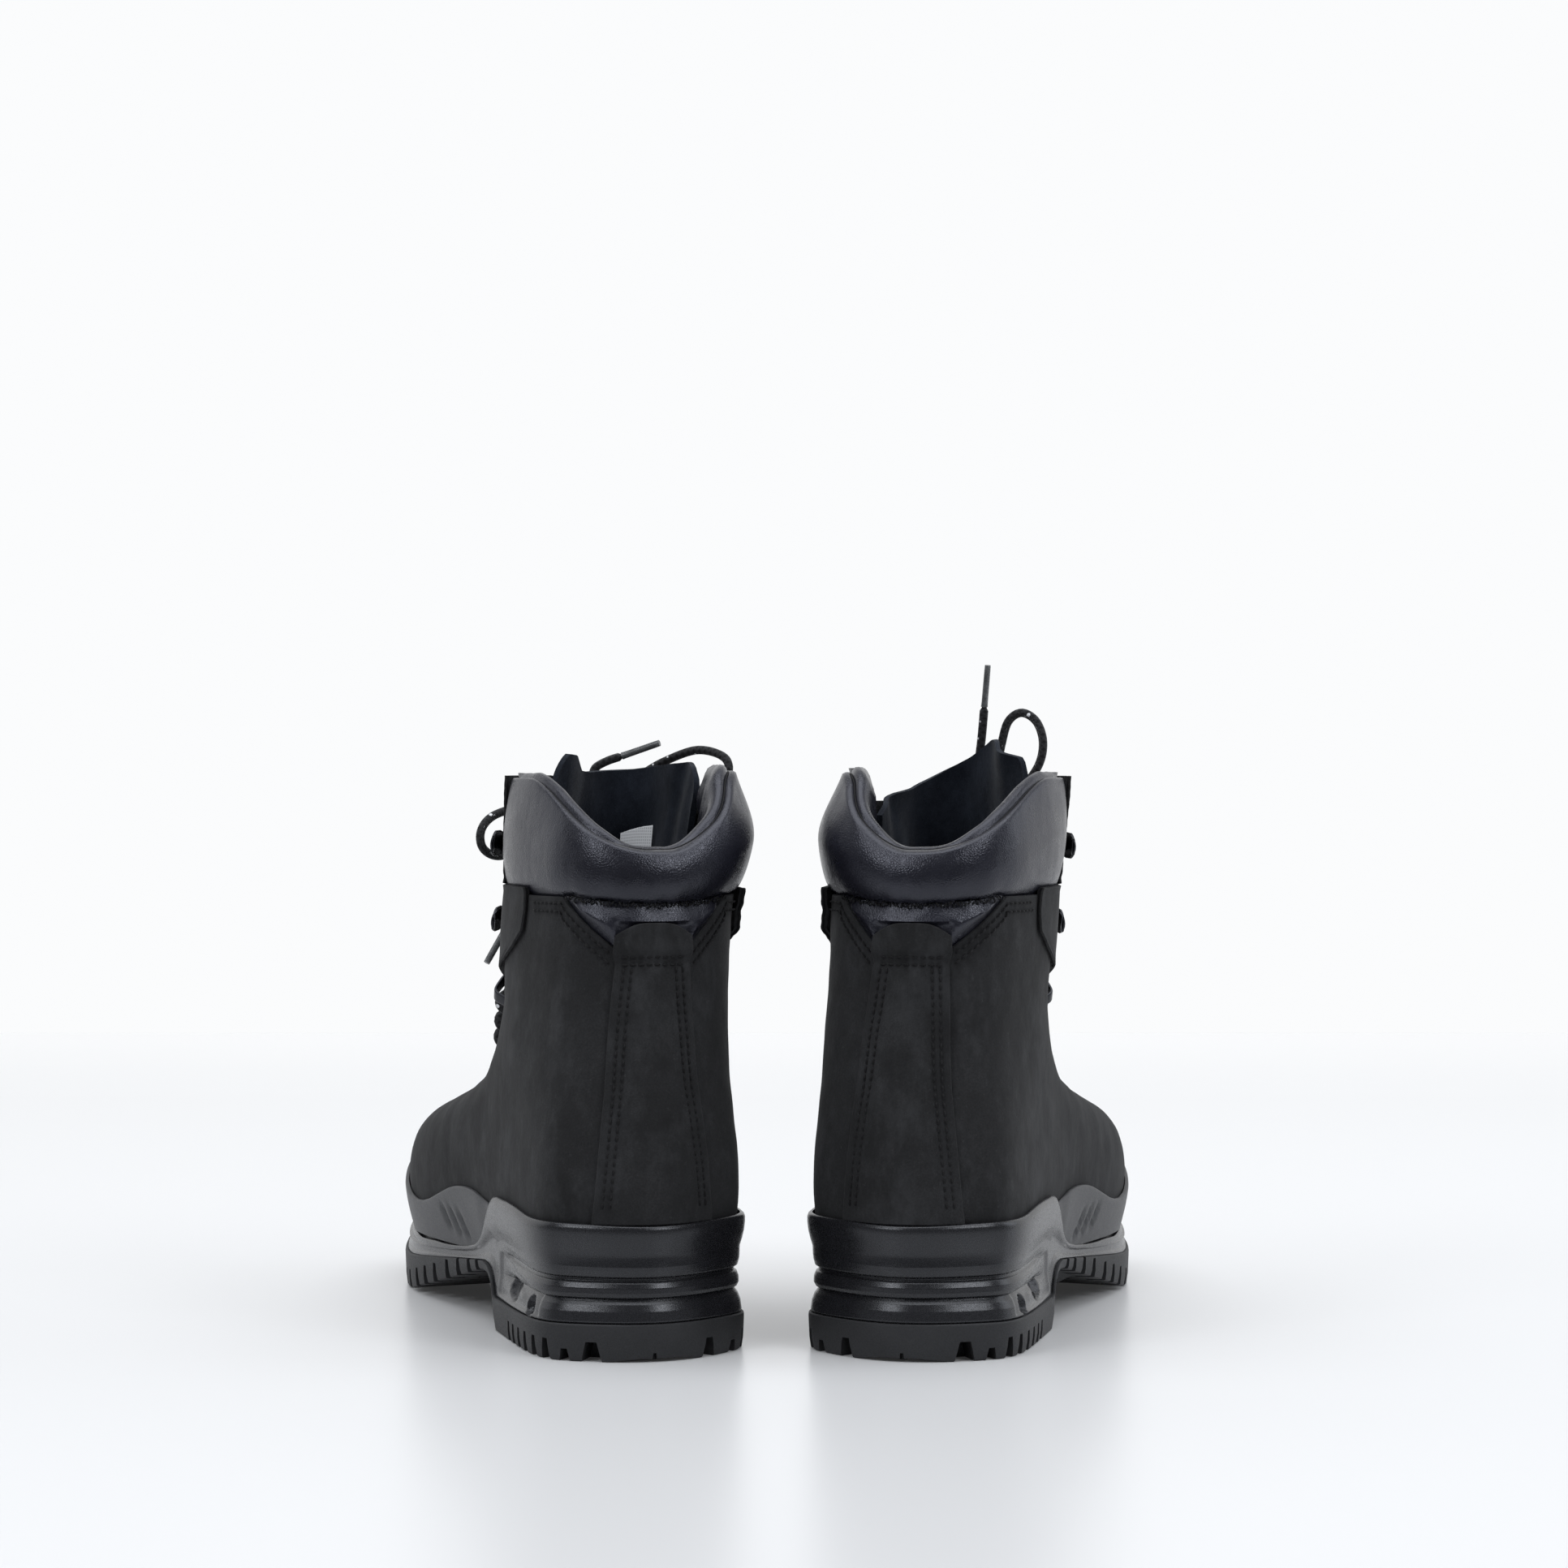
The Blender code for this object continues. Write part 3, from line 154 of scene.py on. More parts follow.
class Surface:
    """The last's skin: u runs round from the toe by the outer side (0.5 at the heel), v up the rings."""

    def __init__(self, rows, lean):
        net = np.array([ring_points(row, lean) for row in rows])
        self.rows, self.cols = net.shape[:2]
        around = np.zeros((self.cols, self.cols))
        for i in range(self.cols):
            around[i, i], around[i, i - 1], around[i, (i + 1) % self.cols] = 4, 1, 1
        net = np.linalg.solve(around / 6, net.transpose(1, 0, 2).reshape(self.cols, -1))
        net = net.reshape(self.cols, self.rows, 3).transpose(1, 0, 2)
        if self.rows > 1:
            up = np.zeros((self.rows, self.rows))
            for i in range(self.rows):
                up[i, i] = 4
                up[i, max(i - 1, 0)] += 1
                up[i, min(i + 1, self.rows - 1)] += 1
            up[0], up[-1] = 0, 0
            up[0, 0] = up[-1, -1] = 6
            net = np.linalg.solve(up / 6, net.reshape(self.rows, -1)).reshape(self.rows, self.cols, 3)
            net = np.concatenate([2 * net[:1] - net[1:2], net, 2 * net[-1:] - net[-2:-1]], 0)
        else:
            net = np.concatenate([net] * 4, 0)
        self.net = net
        self.us, self.vs = np.linspace(0, 1, 241), np.linspace(0, max(self.rows - 1, 1), 181)
        self.table = self.at(self.us[None, :], self.vs[:, None])
        steps = np.linalg.norm(np.diff(self.table, axis=1), axis=2)
        self.runs = np.concatenate([np.zeros((181, 1)), np.cumsum(steps, axis=1)], axis=1)
        self.heights = self.table[:, :, 2].T

    def at(self, u, v, du=0, dv=0):
        u, v = np.broadcast_arrays(np.asarray(u, float), np.asarray(v, float))
        uu = (u % 1.0) * self.cols
        i = np.floor(uu).astype(int)
        vv = np.clip(v, 0, max(self.rows - 1, 1) - 1e-9)
        j = np.floor(vv).astype(int)
        bu, bv = basis(uu - i, du), basis(vv - j, dv)
        out = 0
        for a in range(4):
            for b in range(4):
                out = out + (bv[..., a] * bu[..., b])[..., None] * self.net[j + a, (i - 1 + b) % self.cols]
        return out

    def normal(self, u, v):
        n = np.cross(self.at(u, v, dv=1), self.at(u, v, du=1))
        return n / np.linalg.norm(n, axis=-1, keepdims=True)

    def off(self, u, v, h):
        """The point h mm outside the skin."""
        lift = np.broadcast_to(np.asarray(h, float), np.shape(u + v))
        return self.at(u, v) + self.normal(u, v) * lift[..., None]

    def v_at(self, u, z):
        u, z = np.broadcast_arrays(np.asarray(u, float), np.asarray(z, float))
        uu = (u % 1.0).ravel() * 240
        i = np.minimum(uu.astype(int), 239)
        f = (uu - i)[:, None]
        column = self.heights[i] * (1 - f) + self.heights[i + 1] * f
        return interp_rows(z.ravel(), column, self.vs).reshape(u.shape)

    def u_arc(self, v, s, back=False):
        """u at s mm round from the front centre line (or the back one), + to the outer side."""
        v, s = np.broadcast_arrays(np.asarray(v, float), np.asarray(s, float))
        vv = v.ravel() / (self.rows - 1) * 180
        i = np.minimum(vv.astype(int), 179)
        f = (vv - i)[:, None]
        run = self.runs[i] * (1 - f) + self.runs[i + 1] * f
        flat = s.ravel()
        if back:
            return interp_rows(run[:, 120] - flat, run, self.us).reshape(s.shape)
        out = interp_rows(np.where(flat >= 0, flat, run[:, -1] + flat), run, self.us)
        return (out - (flat < 0)).reshape(s.shape)

    def place(self, s, z, back=False):
        """(u, v) at height z, s mm round from the front or back centre line."""
        s, z = np.broadcast_arrays(np.asarray(s, float), np.asarray(z, float))
        u = np.full(s.shape, 0.5 if back else 0.0)
        for _ in range(4):
            v = self.v_at(u, z)
            u = self.u_arc(v, s, back)
        return u, self.v_at(u, z)

    def s_back(self, u):
        """Arc length round from the back centre line at mid height, + to the outer side."""
        run = self.runs[140]
        return run[120] - np.interp(np.asarray(u) % 1.0, self.us, run)


def smooth(t):
    t = np.clip(t, 0, 1)
    return t * t * (3 - 2 * t)


def ridge_at(x, centre, half):
    """1 at the centre, easing to 0 at half to either side."""
    return smooth(1 - np.abs(x - centre) / half)


def edge_s(z):
    """Half the throat's opening at height z, round the front."""
    return np.interp(z, THROAT_Z, THROAT_HALF)


def rim_z(s):
    """Height of the collar's rim, s mm round from the back centre line."""
    s = np.asarray(s, float)
    rise = np.where(s > 0, RIM_RISE["outer"], RIM_RISE["inner"])
    return RIM_LOW + rise * smooth((np.abs(s) - 3) / np.where(s > 0, 75, 50))


def seam_sag(s):
    """How far the collar's bottom seam hangs below SEAM_Z over the heel."""
    return SEAM_SAG * np.clip(1 - (np.asarray(s, float) / SEAM_HALF) ** 2, 0, 1)


def front_thin(s):
    """0 on the padded part of the collar, 1 where it ends thin at the throat."""
    s = np.asarray(s, float)
    return smooth((np.abs(s) - np.where(s > 0, 92, 82)) / 14.0)


def lean_in(s):
    """How far the collar's top leans over the shaft, on the inner side of the boot."""
    s = np.asarray(s, float)
    return 6.0 * smooth((-s - 22) / 22) * (1 - smooth((np.abs(s) - 92) / 12))


def tread_z(y):
    y = np.asarray(y, float)
    return np.interp(y, TREAD_Y, TREAD_LOW) + 1.2 * smooth((5 - y) / 5)


def tread_top(y):
    return np.interp(np.asarray(y, float), TREAD_Y, TREAD_TOP)


# Top edge of the midsole's cup and of the rand, along the boot.
CUP_Y = (0, 40, 70, 84, 89, 93, 97, 105, 110, 115, 120, 126, 134, 146, 162, 180, 207, 230, 260, 300)
CUP_Z = (50, 51.5, 53.5, 53.6, 52.8, 51.2, 48.8, 43.2, 40, 37,
         34.3, 31.8, 29.3, 27.2, 25.8, 24.8, 24, 24.5, 28, 36)
RAND_Y = (94, 98, 104, 112, 122, 130, 136, 143, 150, 157, 165, 175, 185, 195, 205, 218, 235, 250, 265, 300)
RAND_Z = (46.5, 47.5, 48.6, 50, 51.5, 52, 52, 51.6, 50.8, 49.4,
          47.3, 44.6, 42, 40.3, 39.5, 40.2, 43, 46.2, 50, 56)

# The midsole's lower wall: share of the way up, inset at the banded heel, inset at the front.
WALL_PART = (0.0, 0.02, 0.12, 0.19, 0.225, 0.245, 0.262, 0.30, 0.36, 0.405, 0.43, 0.45, 0.475, 0.53, 0.58)
WALL_HEEL = (1.3, 0.9, 1.4, 2.4, 3.4, 3.8, 2.7, 2.0, 2.1, 2.8, 3.9, 4.0, 2.5, 1.9, 1.7)
WALL_FRONT = (1.6, 1.3, 1.4, 1.8, 2.0, 2.1, 2.1, 2.1, 2.1, 2.1, 2.1, 2.1, 2.1, 2.0, 1.8)
WALL_CUP = ((0.66, 3.3), (0.74, 3.5), (0.82, 3.55), (0.90, 3.4), (0.955, 3.1), (0.985, 2.6), (1.0, 1.9),
            (1.0, 1.0))

LAST = {side: Surface(RINGS, SIGN[side]) for side in ("left", "right")}
SOLE_PLAN = Surface((SOLE,), 0.0)


# ------------------------------------------------------------------ mesh helpers
def to_world(points, side):
    """Millimetres of one boot's own frame to metres of the world."""
    a = math.radians(YAW[side])
    p = np.asarray(points, float) * np.array([SIGN[side], 1, 1])
    x = HEEL_X[side] + p[..., 0] * math.cos(a) - p[..., 1] * math.sin(a)
    y = HEEL_Y + p[..., 0] * math.sin(a) + p[..., 1] * math.cos(a)
    return np.stack([x, y, p[..., 2]], -1) * MM


def grid_quads(rows, cols, keep=None, wrap=False, start=0):
    """Quads of a grid of points; keep[i, j] says which cells are there."""
    i, j = np.meshgrid(np.arange(rows - 1), np.arange(cols if wrap else cols - 1), indexing="ij")
    k = (j + 1) % cols
    quads = np.stack([i * cols + j, (i + 1) * cols + j, (i + 1) * cols + k, i * cols + k], -1).reshape(-1, 4)
    if keep is not None:
        quads = quads[np.asarray(keep).reshape(-1)]
    return quads + start


def shell(outer, inner, keep=None, wrap=False):
    """Closed solid between two grids of points, (rows, columns, 3)."""
    rows, cols = outer.shape[:2]
    n = rows * cols
    quads = grid_quads(rows, cols, keep, wrap)
    edges = {}
    for q in quads.tolist():
        for a, b in zip(q, q[1:] + q[:1]):
            edges[(a, b)] = True
    rim = [(b, a, a + n, b + n) for a, b in edges if (b, a) not in edges]
    faces = quads.tolist() + (quads[:, ::-1] + n).tolist() + rim
    return np.concatenate([outer.reshape(-1, 3), inner.reshape(-1, 3)]), faces


def loft(rings, closed=False):
    """Skin through closed rings, (rings, points, 3); closed joins the last ring to the first."""
    rings = np.asarray(rings, float)
    m, n = rings.shape[:2]
    faces = []
    for i in range(m if closed else m - 1):
        a, b = i * n, ((i + 1) % m) * n
        j = np.arange(n)
        k = (j + 1) % n
        faces += np.stack([a + j, a + k, b + k, b + j], -1).tolist()
    if not closed:
        faces += [list(range(n))[::-1], list(range((m - 1) * n, m * n))]
    return rings.reshape(-1, 3), faces


def run_of(points):
    """Distance along a list of points, from 0 at the first."""
    return np.concatenate([[0], np.cumsum(np.linalg.norm(np.diff(points, axis=0), axis=1))])


def sample(points, run, at):
    """The values of a list of points at distances along its run."""
    return np.stack([np.interp(at, run, points[:, k]) for k in range(3)], -1)


def circle(count):
    """Angles of count points round a circle."""
    return np.arange(count) / count * 2 * math.pi


def joined(parts):
    """One (points, faces) of several."""
    points, faces, base = [], [], 0
    for p, f in parts:
        points.append(np.asarray(p, float))
        faces += [[v + base for v in q] for q in f]
        base += len(p)
    return np.concatenate(points), faces


def tube(path, radius, sides, closed=False, flat=1.0):
    """A tube along a list of points; its radius may vary, and closed makes it a ring."""
    path = np.asarray(path, float)
    n = len(path)
    tangent = np.roll(path, -1, 0) - np.roll(path, 1, 0) if closed else np.gradient(path, axis=0)
    tangent /= np.linalg.norm(tangent, axis=1, keepdims=True)
    radius = np.broadcast_to(np.asarray(radius, float), (n,))
    up = np.cross(tangent[0], (0.3, 0.2, 0.93))
    up /= np.linalg.norm(up)
    ups = []
    for i in range(n):
        up = up - tangent[i] * np.dot(up, tangent[i])
        up /= np.linalg.norm(up)
        ups.append(up)
    ups = np.array(ups)
    sides_dir = np.cross(tangent, ups)
    if closed:   # spread the turn that the frame picks up over the loop
        back = ups[-1] - tangent[0] * np.dot(ups[-1], tangent[0])
        turn = math.atan2(np.dot(back, sides_dir[0]), np.dot(back, ups[0]))
        angle = -turn * np.arange(n) / n
        ups, sides_dir = (ups * np.cos(angle)[:, None] + sides_dir * np.sin(angle)[:, None],
                          sides_dir * np.cos(angle)[:, None] - ups * np.sin(angle)[:, None])
    a = circle(sides)
    ring = np.cos(a)[None, :, None] * ups[:, None] * flat + np.sin(a)[None, :, None] * sides_dir[:, None]
    return loft(path[:, None] + radius[:, None, None] * ring, closed)


def smooth_path(points, step):
    """Points every step mm along a smooth curve through the given ones."""
    points = np.asarray(points, float)
    p = np.concatenate([2 * points[:1] - points[1:2], points, 2 * points[-1:] - points[-2:-1]])
    out = []
    for i in range(1, len(p) - 2):
        for t in np.linspace(0, 1, 12, endpoint=False):
            out.append(0.5 * (2 * p[i] + (p[i + 1] - p[i - 1]) * t
                              + (2 * p[i - 1] - 5 * p[i] + 4 * p[i + 1] - p[i + 2]) * t**2
                              + (3 * p[i] - p[i - 1] - 3 * p[i + 1] + p[i + 2]) * t**3))
    out = np.array(out + [p[-2]])
    run = run_of(out)
    at = np.linspace(0, run[-1], max(int(run[-1] / step), 4) + 1)
    return sample(out, run, at)


def wobble(points, size, amount, seed=0):
    """A smooth random number for each point, for hand-made unevenness."""
    shift = Vector((seed * 7.31, seed * 3.17, seed * 5.77))
    flat = np.asarray(points, float).reshape(-1, 3) / size
    values = [noise.noise(Vector(p) + shift) for p in flat]
    return amount * np.array(values).reshape(np.shape(points)[:-1])


def new_mesh(name, geometry, side):
    points, faces = geometry
    if SIGN[side] < 0:
        faces = [f[::-1] for f in faces]
    mesh = bpy.data.meshes.new(name)
    mesh.from_pydata(to_world(points, side).tolist(), [], [tuple(f) for f in faces])
    return mesh


def new_object(name, data):
    obj = bpy.data.objects.new(name, data)
    bpy.context.scene.collection.objects.link(obj)
    return obj


def piece(name, geometry, side, mat, body=None, replaces=(), bevel=0.0, sharp=50, uv=None):
    """An object from millimetre points of one boot, riding on its body and standing for CAD nodes."""
    mesh = new_mesh(name, geometry, side)
    mesh.validate()
    if volume_of(mesh) < 0:
        mesh.flip_normals()
    if uv is not None:
        corner = np.empty(len(mesh.loops), np.int32)
        mesh.loops.foreach_get("vertex_index", corner)
        layer = mesh.uv_layers.new(name="UVMap")
        layer.data.foreach_set("uv", np.asarray(uv, np.float32)[corner].ravel())
    mesh.shade_smooth()
    mesh.set_sharp_from_angle(angle=math.radians(sharp))
    mesh.materials.append(MAT[mat])
    obj = new_object(name, mesh)
    if bevel:
        mod = obj.modifiers.new("round_edges", "BEVEL")
        mod.width, mod.segments, mod.limit_method = bevel * MM, 2, "ANGLE"
        mod.angle_limit = math.radians(45)
        mod.harden_normals = False
    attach(obj, body or side + "_boot")
    if replaces:
        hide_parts(*replaces)
    return obj


def volume_of(mesh):
    co = np.empty(len(mesh.vertices) * 3)
    mesh.vertices.foreach_get("co", co)
    co = co.reshape(-1, 3)
    co -= co.mean(0)
    mesh.calc_loop_triangles()
    tri = np.empty(len(mesh.loop_triangles) * 3, np.int32)
    mesh.loop_triangles.foreach_get("vertices", tri)
    a, b, c = co[tri.reshape(-1, 3)].transpose(1, 0, 2)
    return float((a * np.cross(b, c)).sum())


# ------------------------------------------------------------------ materials
class Shader:
    """A small builder of node materials."""

    def __init__(self, name):
        self.mat = bpy.data.materials.new(name)
        self.mat.use_nodes = True
        self.tree = self.mat.node_tree
        self.bsdf = self.tree.nodes["Principled BSDF"]
        self.coords = self.tree.nodes.new("ShaderNodeTexCoord")
        self.bump_chain = None

    def link(self, a, b):
        self.tree.links.new(a, b)

    def set(self, **values):
        for key, value in values.items():
            socket = self.bsdf.inputs[key.replace("_", " ")]
            if isinstance(value, (int, float, tuple)):
                socket.default_value = value
            else:
                self.link(value, socket)

    def place(self, scale=(1, 1, 1), rotate=(0, 0, 0), source="Object"):
        node = self.tree.nodes.new("ShaderNodeMapping")
        node.inputs["Scale"].default_value = scale
        node.inputs["Rotation"].default_value = rotate
        self.link(self.coords.outputs[source], node.inputs["Vector"])
        return node.outputs["Vector"]

    def noise(self, size_mm, detail=3, rough=0.5, vector=None):
        node = self.tree.nodes.new("ShaderNodeTexNoise")
        node.inputs["Scale"].default_value = 1000 / size_mm
        node.inputs["Detail"].default_value = detail
        node.inputs["Roughness"].default_value = rough
        self.link(vector or self.coords.outputs["Object"], node.inputs["Vector"])
        return node.outputs["Fac"]

    def cells(self, size_mm, feature="F1", vector=None, randomness=1.0):
        node = self.tree.nodes.new("ShaderNodeTexVoronoi")
        node.feature = feature
        node.inputs["Scale"].default_value = 1000 / size_mm
        node.inputs["Randomness"].default_value = randomness
        self.link(vector or self.coords.outputs["Object"], node.inputs["Vector"])
        return node.outputs["Distance"]

    def wave(self, size_mm, vector, direction="X"):
        """Light and dark bands in turn, each size_mm wide."""
        node = self.tree.nodes.new("ShaderNodeTexWave")
        node.bands_direction = direction
        node.inputs["Scale"].default_value = 50 * math.pi / size_mm
        self.link(vector, node.inputs["Vector"])
        return node.outputs["Fac"]

    def ramp(self, fac, *stops):
        node = self.tree.nodes.new("ShaderNodeValToRGB")
        while len(node.color_ramp.elements) < len(stops):
            node.color_ramp.elements.new(0.5)
        for element, (where, color) in zip(node.color_ramp.elements, stops):
            element.position = where
            element.color = (*color, 1) if isinstance(color, tuple) else (color, color, color, 1)
        self.link(fac, node.inputs["Fac"])
        return node.outputs["Color"]

    def math(self, how, a, b=0.5):
        node = self.tree.nodes.new("ShaderNodeMath")
        node.operation = how
        for socket, value in zip(node.inputs, (a, b)):
            if isinstance(value, (int, float)):
                socket.default_value = value
            else:
                self.link(value, socket)
        return node.outputs["Value"]

    def mix(self, fac, a, b):
        node = self.tree.nodes.new("ShaderNodeMix")
        node.data_type = "RGBA"
        for socket, value in ((node.inputs[0], fac), (node.inputs[6], a), (node.inputs[7], b)):
            if isinstance(value, tuple):
                socket.default_value = (*value, 1)
            elif isinstance(value, (int, float)):
                socket.default_value = value
            else:
                self.link(value, socket)
        return node.outputs[2]

    def bump(self, height, depth_mm, strength=1.0):
        node = self.tree.nodes.new("ShaderNodeBump")
        node.inputs["Strength"].default_value = strength
        node.inputs["Distance"].default_value = depth_mm * MM
        self.link(height, node.inputs["Height"])
        if self.bump_chain is not None:
            self.link(self.bump_chain, node.inputs["Normal"])
        self.bump_chain = node.outputs["Normal"]
        self.link(self.bump_chain, self.bsdf.inputs["Normal"])


def nubuck():
    """Buffed leather: a dull, dusty black with soft cloudy handling marks and fine scuffs."""
    m = Shader("nubuck")
    clouds = m.noise(38, 4, 0.6)
    rubs = m.noise(9, 5, 0.65, m.place((1, 1, 0.55)))
    specks = m.noise(0.7, 2, 0.6)
    base = m.ramp(clouds, (0.32, (0.0105, 0.0107, 0.0115)), (0.68, (0.021, 0.0214, 0.023)))
    base = m.mix(m.ramp(rubs, (0.5, 0.0), (0.8, 0.45)), base, (0.04, 0.041, 0.044))
    base = m.mix(m.ramp(specks, (0.35, 0.0), (0.7, 0.55)), base, (0.007, 0.007, 0.0078))
    dust = m.noise(2.0, 6, 0.8)
    base = m.mix(m.ramp(dust, (0.6, 0.0), (0.76, 0.45)), base, (0.075, 0.077, 0.08))
    bloom = m.noise(24, 6, 0.7, m.place((1.2, 1.2, 0.6)))
    base = m.mix(m.ramp(bloom, (0.50, 0.0), (0.68, 0.5)), base, (0.036, 0.037, 0.04))
    base = m.mix(m.ramp(m.noise(17, 5, 0.7), (0.52, 0.0), (0.7, 0.6)), base, (0.0085, 0.0086, 0.0095))
    m.set(Base_Color=base, Roughness=m.ramp(rubs, (0.3, 0.92), (0.8, 0.78)), Sheen_Weight=0.04,
          Sheen_Roughness=0.5, Specular_IOR_Level=0.22)
    m.bump(m.noise(0.6, 4, 0.75), 0.10, 0.8)
    m.bump(m.noise(3.4, 4, 0.6), 0.26, 0.6)
    return m.mat


def smooth_leather():
    """Full-grain leather with a satin finish, fine pebbling and faint stretch creases."""
    m = Shader("smooth_leather")
    clouds = m.noise(30, 3, 0.5)
    base = m.ramp(clouds, (0.3, (0.006, 0.006, 0.0095)), (0.7, (0.0115, 0.0117, 0.0175)))
    rough = m.ramp(m.noise(7, 4, 0.6), (0.3, 0.25), (0.75, 0.36))
    m.set(Base_Color=base, Roughness=rough, Specular_IOR_Level=0.5, Specular_Tint=(0.86, 0.88, 1.0, 1))
    grain = m.cells(1.0, "DISTANCE_TO_EDGE")
    m.bump(m.ramp(grain, (0.0, 0.0), (0.25, 1.0)), 0.05, 0.8)
    m.bump(m.noise(2.2, 4, 0.6), 0.12, 0.6)
    m.bump(m.noise(11, 3, 0.5, m.place((1, 1, 0.5))), 0.9, 0.4)
    return m.mat


def moulded(name, dark, light, rough_low, rough_high, speck=0.12, marks=0.0):
    """Moulded rubber or polyurethane with a fine speckled skin."""
    m = Shader(name)
    fine = m.noise(0.55, 3, 0.7)
    clouds = m.noise(26, 4, 0.6)
    base = m.ramp(clouds, (0.3, dark), (0.7, light))
    if marks:
        scuffs = m.noise(5, 6, 0.7, m.place((1, 1, 2.2)))
        base = m.mix(m.ramp(scuffs, (0.58, 0.0), (0.8, marks)), base, (0.09, 0.09, 0.095))
    rough = m.ramp(fine, (0.35, rough_low), (0.65, rough_high))
    m.set(Base_Color=base, Roughness=rough, Specular_IOR_Level=0.5, Specular_Tint=(0.93, 0.95, 1.0, 1))
    m.bump(fine, 0.05, speck * 5)
    m.bump(m.noise(6, 3, 0.5), 0.12, 0.3)
    return m.mat


def suede():
    """Split leather with a raised nap, blue-black, brushed in patches."""
    m = Shader("suede")
    nap = m.noise(0.5, 4, 0.75)
    brushed = m.noise(8, 5, 0.7, m.place((1, 1, 0.6)))
    base = m.mix(m.ramp(brushed, (0.35, 0.0), (0.7, 1.0)), (0.006, 0.008, 0.013), (0.017, 0.021, 0.03))
    base = m.mix(m.ramp(nap, (0.55, 0.0), (0.8, 0.5)), base, (0.045, 0.052, 0.068))
    m.set(Base_Color=base, Roughness=0.97, Sheen_Weight=0.10, Sheen_Roughness=0.4, Specular_IOR_Level=0.12)
    m.bump(nap, 0.28, 0.9)
    m.bump(m.noise(4, 4, 0.6), 0.5, 0.5)
    return m.mat


def plain(name, mottle, dark, light, grain, depth, strength, **shader):
    """A mottled stuff: its colour by one noise, its relief by another, each (size, detail, roughness)."""
    m = Shader(name)
    m.set(Base_Color=m.ramp(m.noise(*mottle), (0.3, dark), (0.7, light)), **shader)
    m.bump(m.noise(*grain), depth, strength)
    return m.mat


def lining_cloth():
    """Black mesh lining: a fine honeycomb knit over foam."""
    m = Shader("lining_cloth")
    holes = m.cells(1.5, "F1", None, 0.25)
    base = m.ramp(holes, (0.15, (0.002, 0.002, 0.002)), (0.5, (0.008, 0.008, 0.009)))
    m.set(Base_Color=base, Roughness=0.95, Specular_IOR_Level=0.12)
    m.bump(holes, 0.35, 0.8)
    m.bump(m.noise(12, 2, 0.4), 0.8, 0.4)
    return m.mat


def lace_cloth():
    """Braided round lace: slanted plaits in the two directions, with sparse white flecks."""
    m = Shader("lace_cloth")
    one = m.wave(1.1, m.place(rotate=(0, 0, math.radians(38)), source="UV"))
    two = m.wave(1.1, m.place(rotate=(0, 0, math.radians(-38)), source="UV"))
    braid = m.math("MAXIMUM", one, two)
    base = m.ramp(braid, (0.3, (0.003, 0.003, 0.0035)), (0.9, (0.016, 0.016, 0.018)))
    flecks = m.cells(3.8, "F1", m.place((1, 0.8, 1), source="UV"), 0.8)
    base = m.mix(m.ramp(flecks, (0.16, 1.0), (0.20, 0.0)), base, (0.72, 0.73, 0.75))
    m.set(Base_Color=base, Roughness=0.8, Sheen_Weight=0.25, Sheen_Roughness=0.4, Specular_IOR_Level=0.3)
    m.bump(braid, 0.22, 0.9)
    return m.mat


def aglet_film():
    m = Shader("aglet_film")
    m.set(Base_Color=m.ramp(m.noise(2.5, 3), (0.3, (0.10, 0.105, 0.11)), (0.7, (0.2, 0.205, 0.21))),
          Roughness=m.ramp(m.noise(1.5, 2), (0.3, 0.16), (0.7, 0.3)), Transmission_Weight=0.35, IOR=1.45)
    m.bump(m.noise(3.5, 2), 0.08, 0.5)
    return m.mat


def metal(name, color, rough_low, rough_high, worn):
    m = Shader(name)
    scratches = m.noise(0.9, 6, 0.75, m.place((1, 1, 0.15)))
    bare = tuple(min(1.0, c * 4 + 0.08) for c in color)
    base = m.mix(m.ramp(scratches, (0.56, 0.0), (0.8, worn)), color, bare)
    m.set(Base_Color=base, Metallic=1.0, Roughness=m.ramp(m.noise(4, 4), (0.3, rough_low), (0.7, rough_high)))
    m.bump(scratches, 0.02, 0.4)
    return m.mat


def fibre(name, dark, light, rough):
    m = Shader(name)
    streaks = m.noise(1.6, 6, 0.8, m.place((1, 0.3, 1)))
    m.set(Base_Color=m.ramp(streaks, (0.3, dark), (0.7, light)), Roughness=rough)
    m.bump(m.noise(0.7, 5, 0.7), 0.08, 0.6)
    return m.mat


def label_cloth():
    """White woven label, left blank."""
    m = Shader("label_cloth")
    weft = m.wave(0.55, m.place(source="UV"), "Y")
    warp = m.wave(0.55, m.place(source="UV"))
    weave = m.math("MAXIMUM", weft, warp)
    m.set(Base_Color=m.ramp(weave, (0.2, (0.36, 0.37, 0.38)), (0.9, (0.6, 0.61, 0.63))), Roughness=0.8,
          Sheen_Weight=0.3, Specular_IOR_Level=0.3)
    m.bump(weave, 0.05, 0.7)
    return m.mat


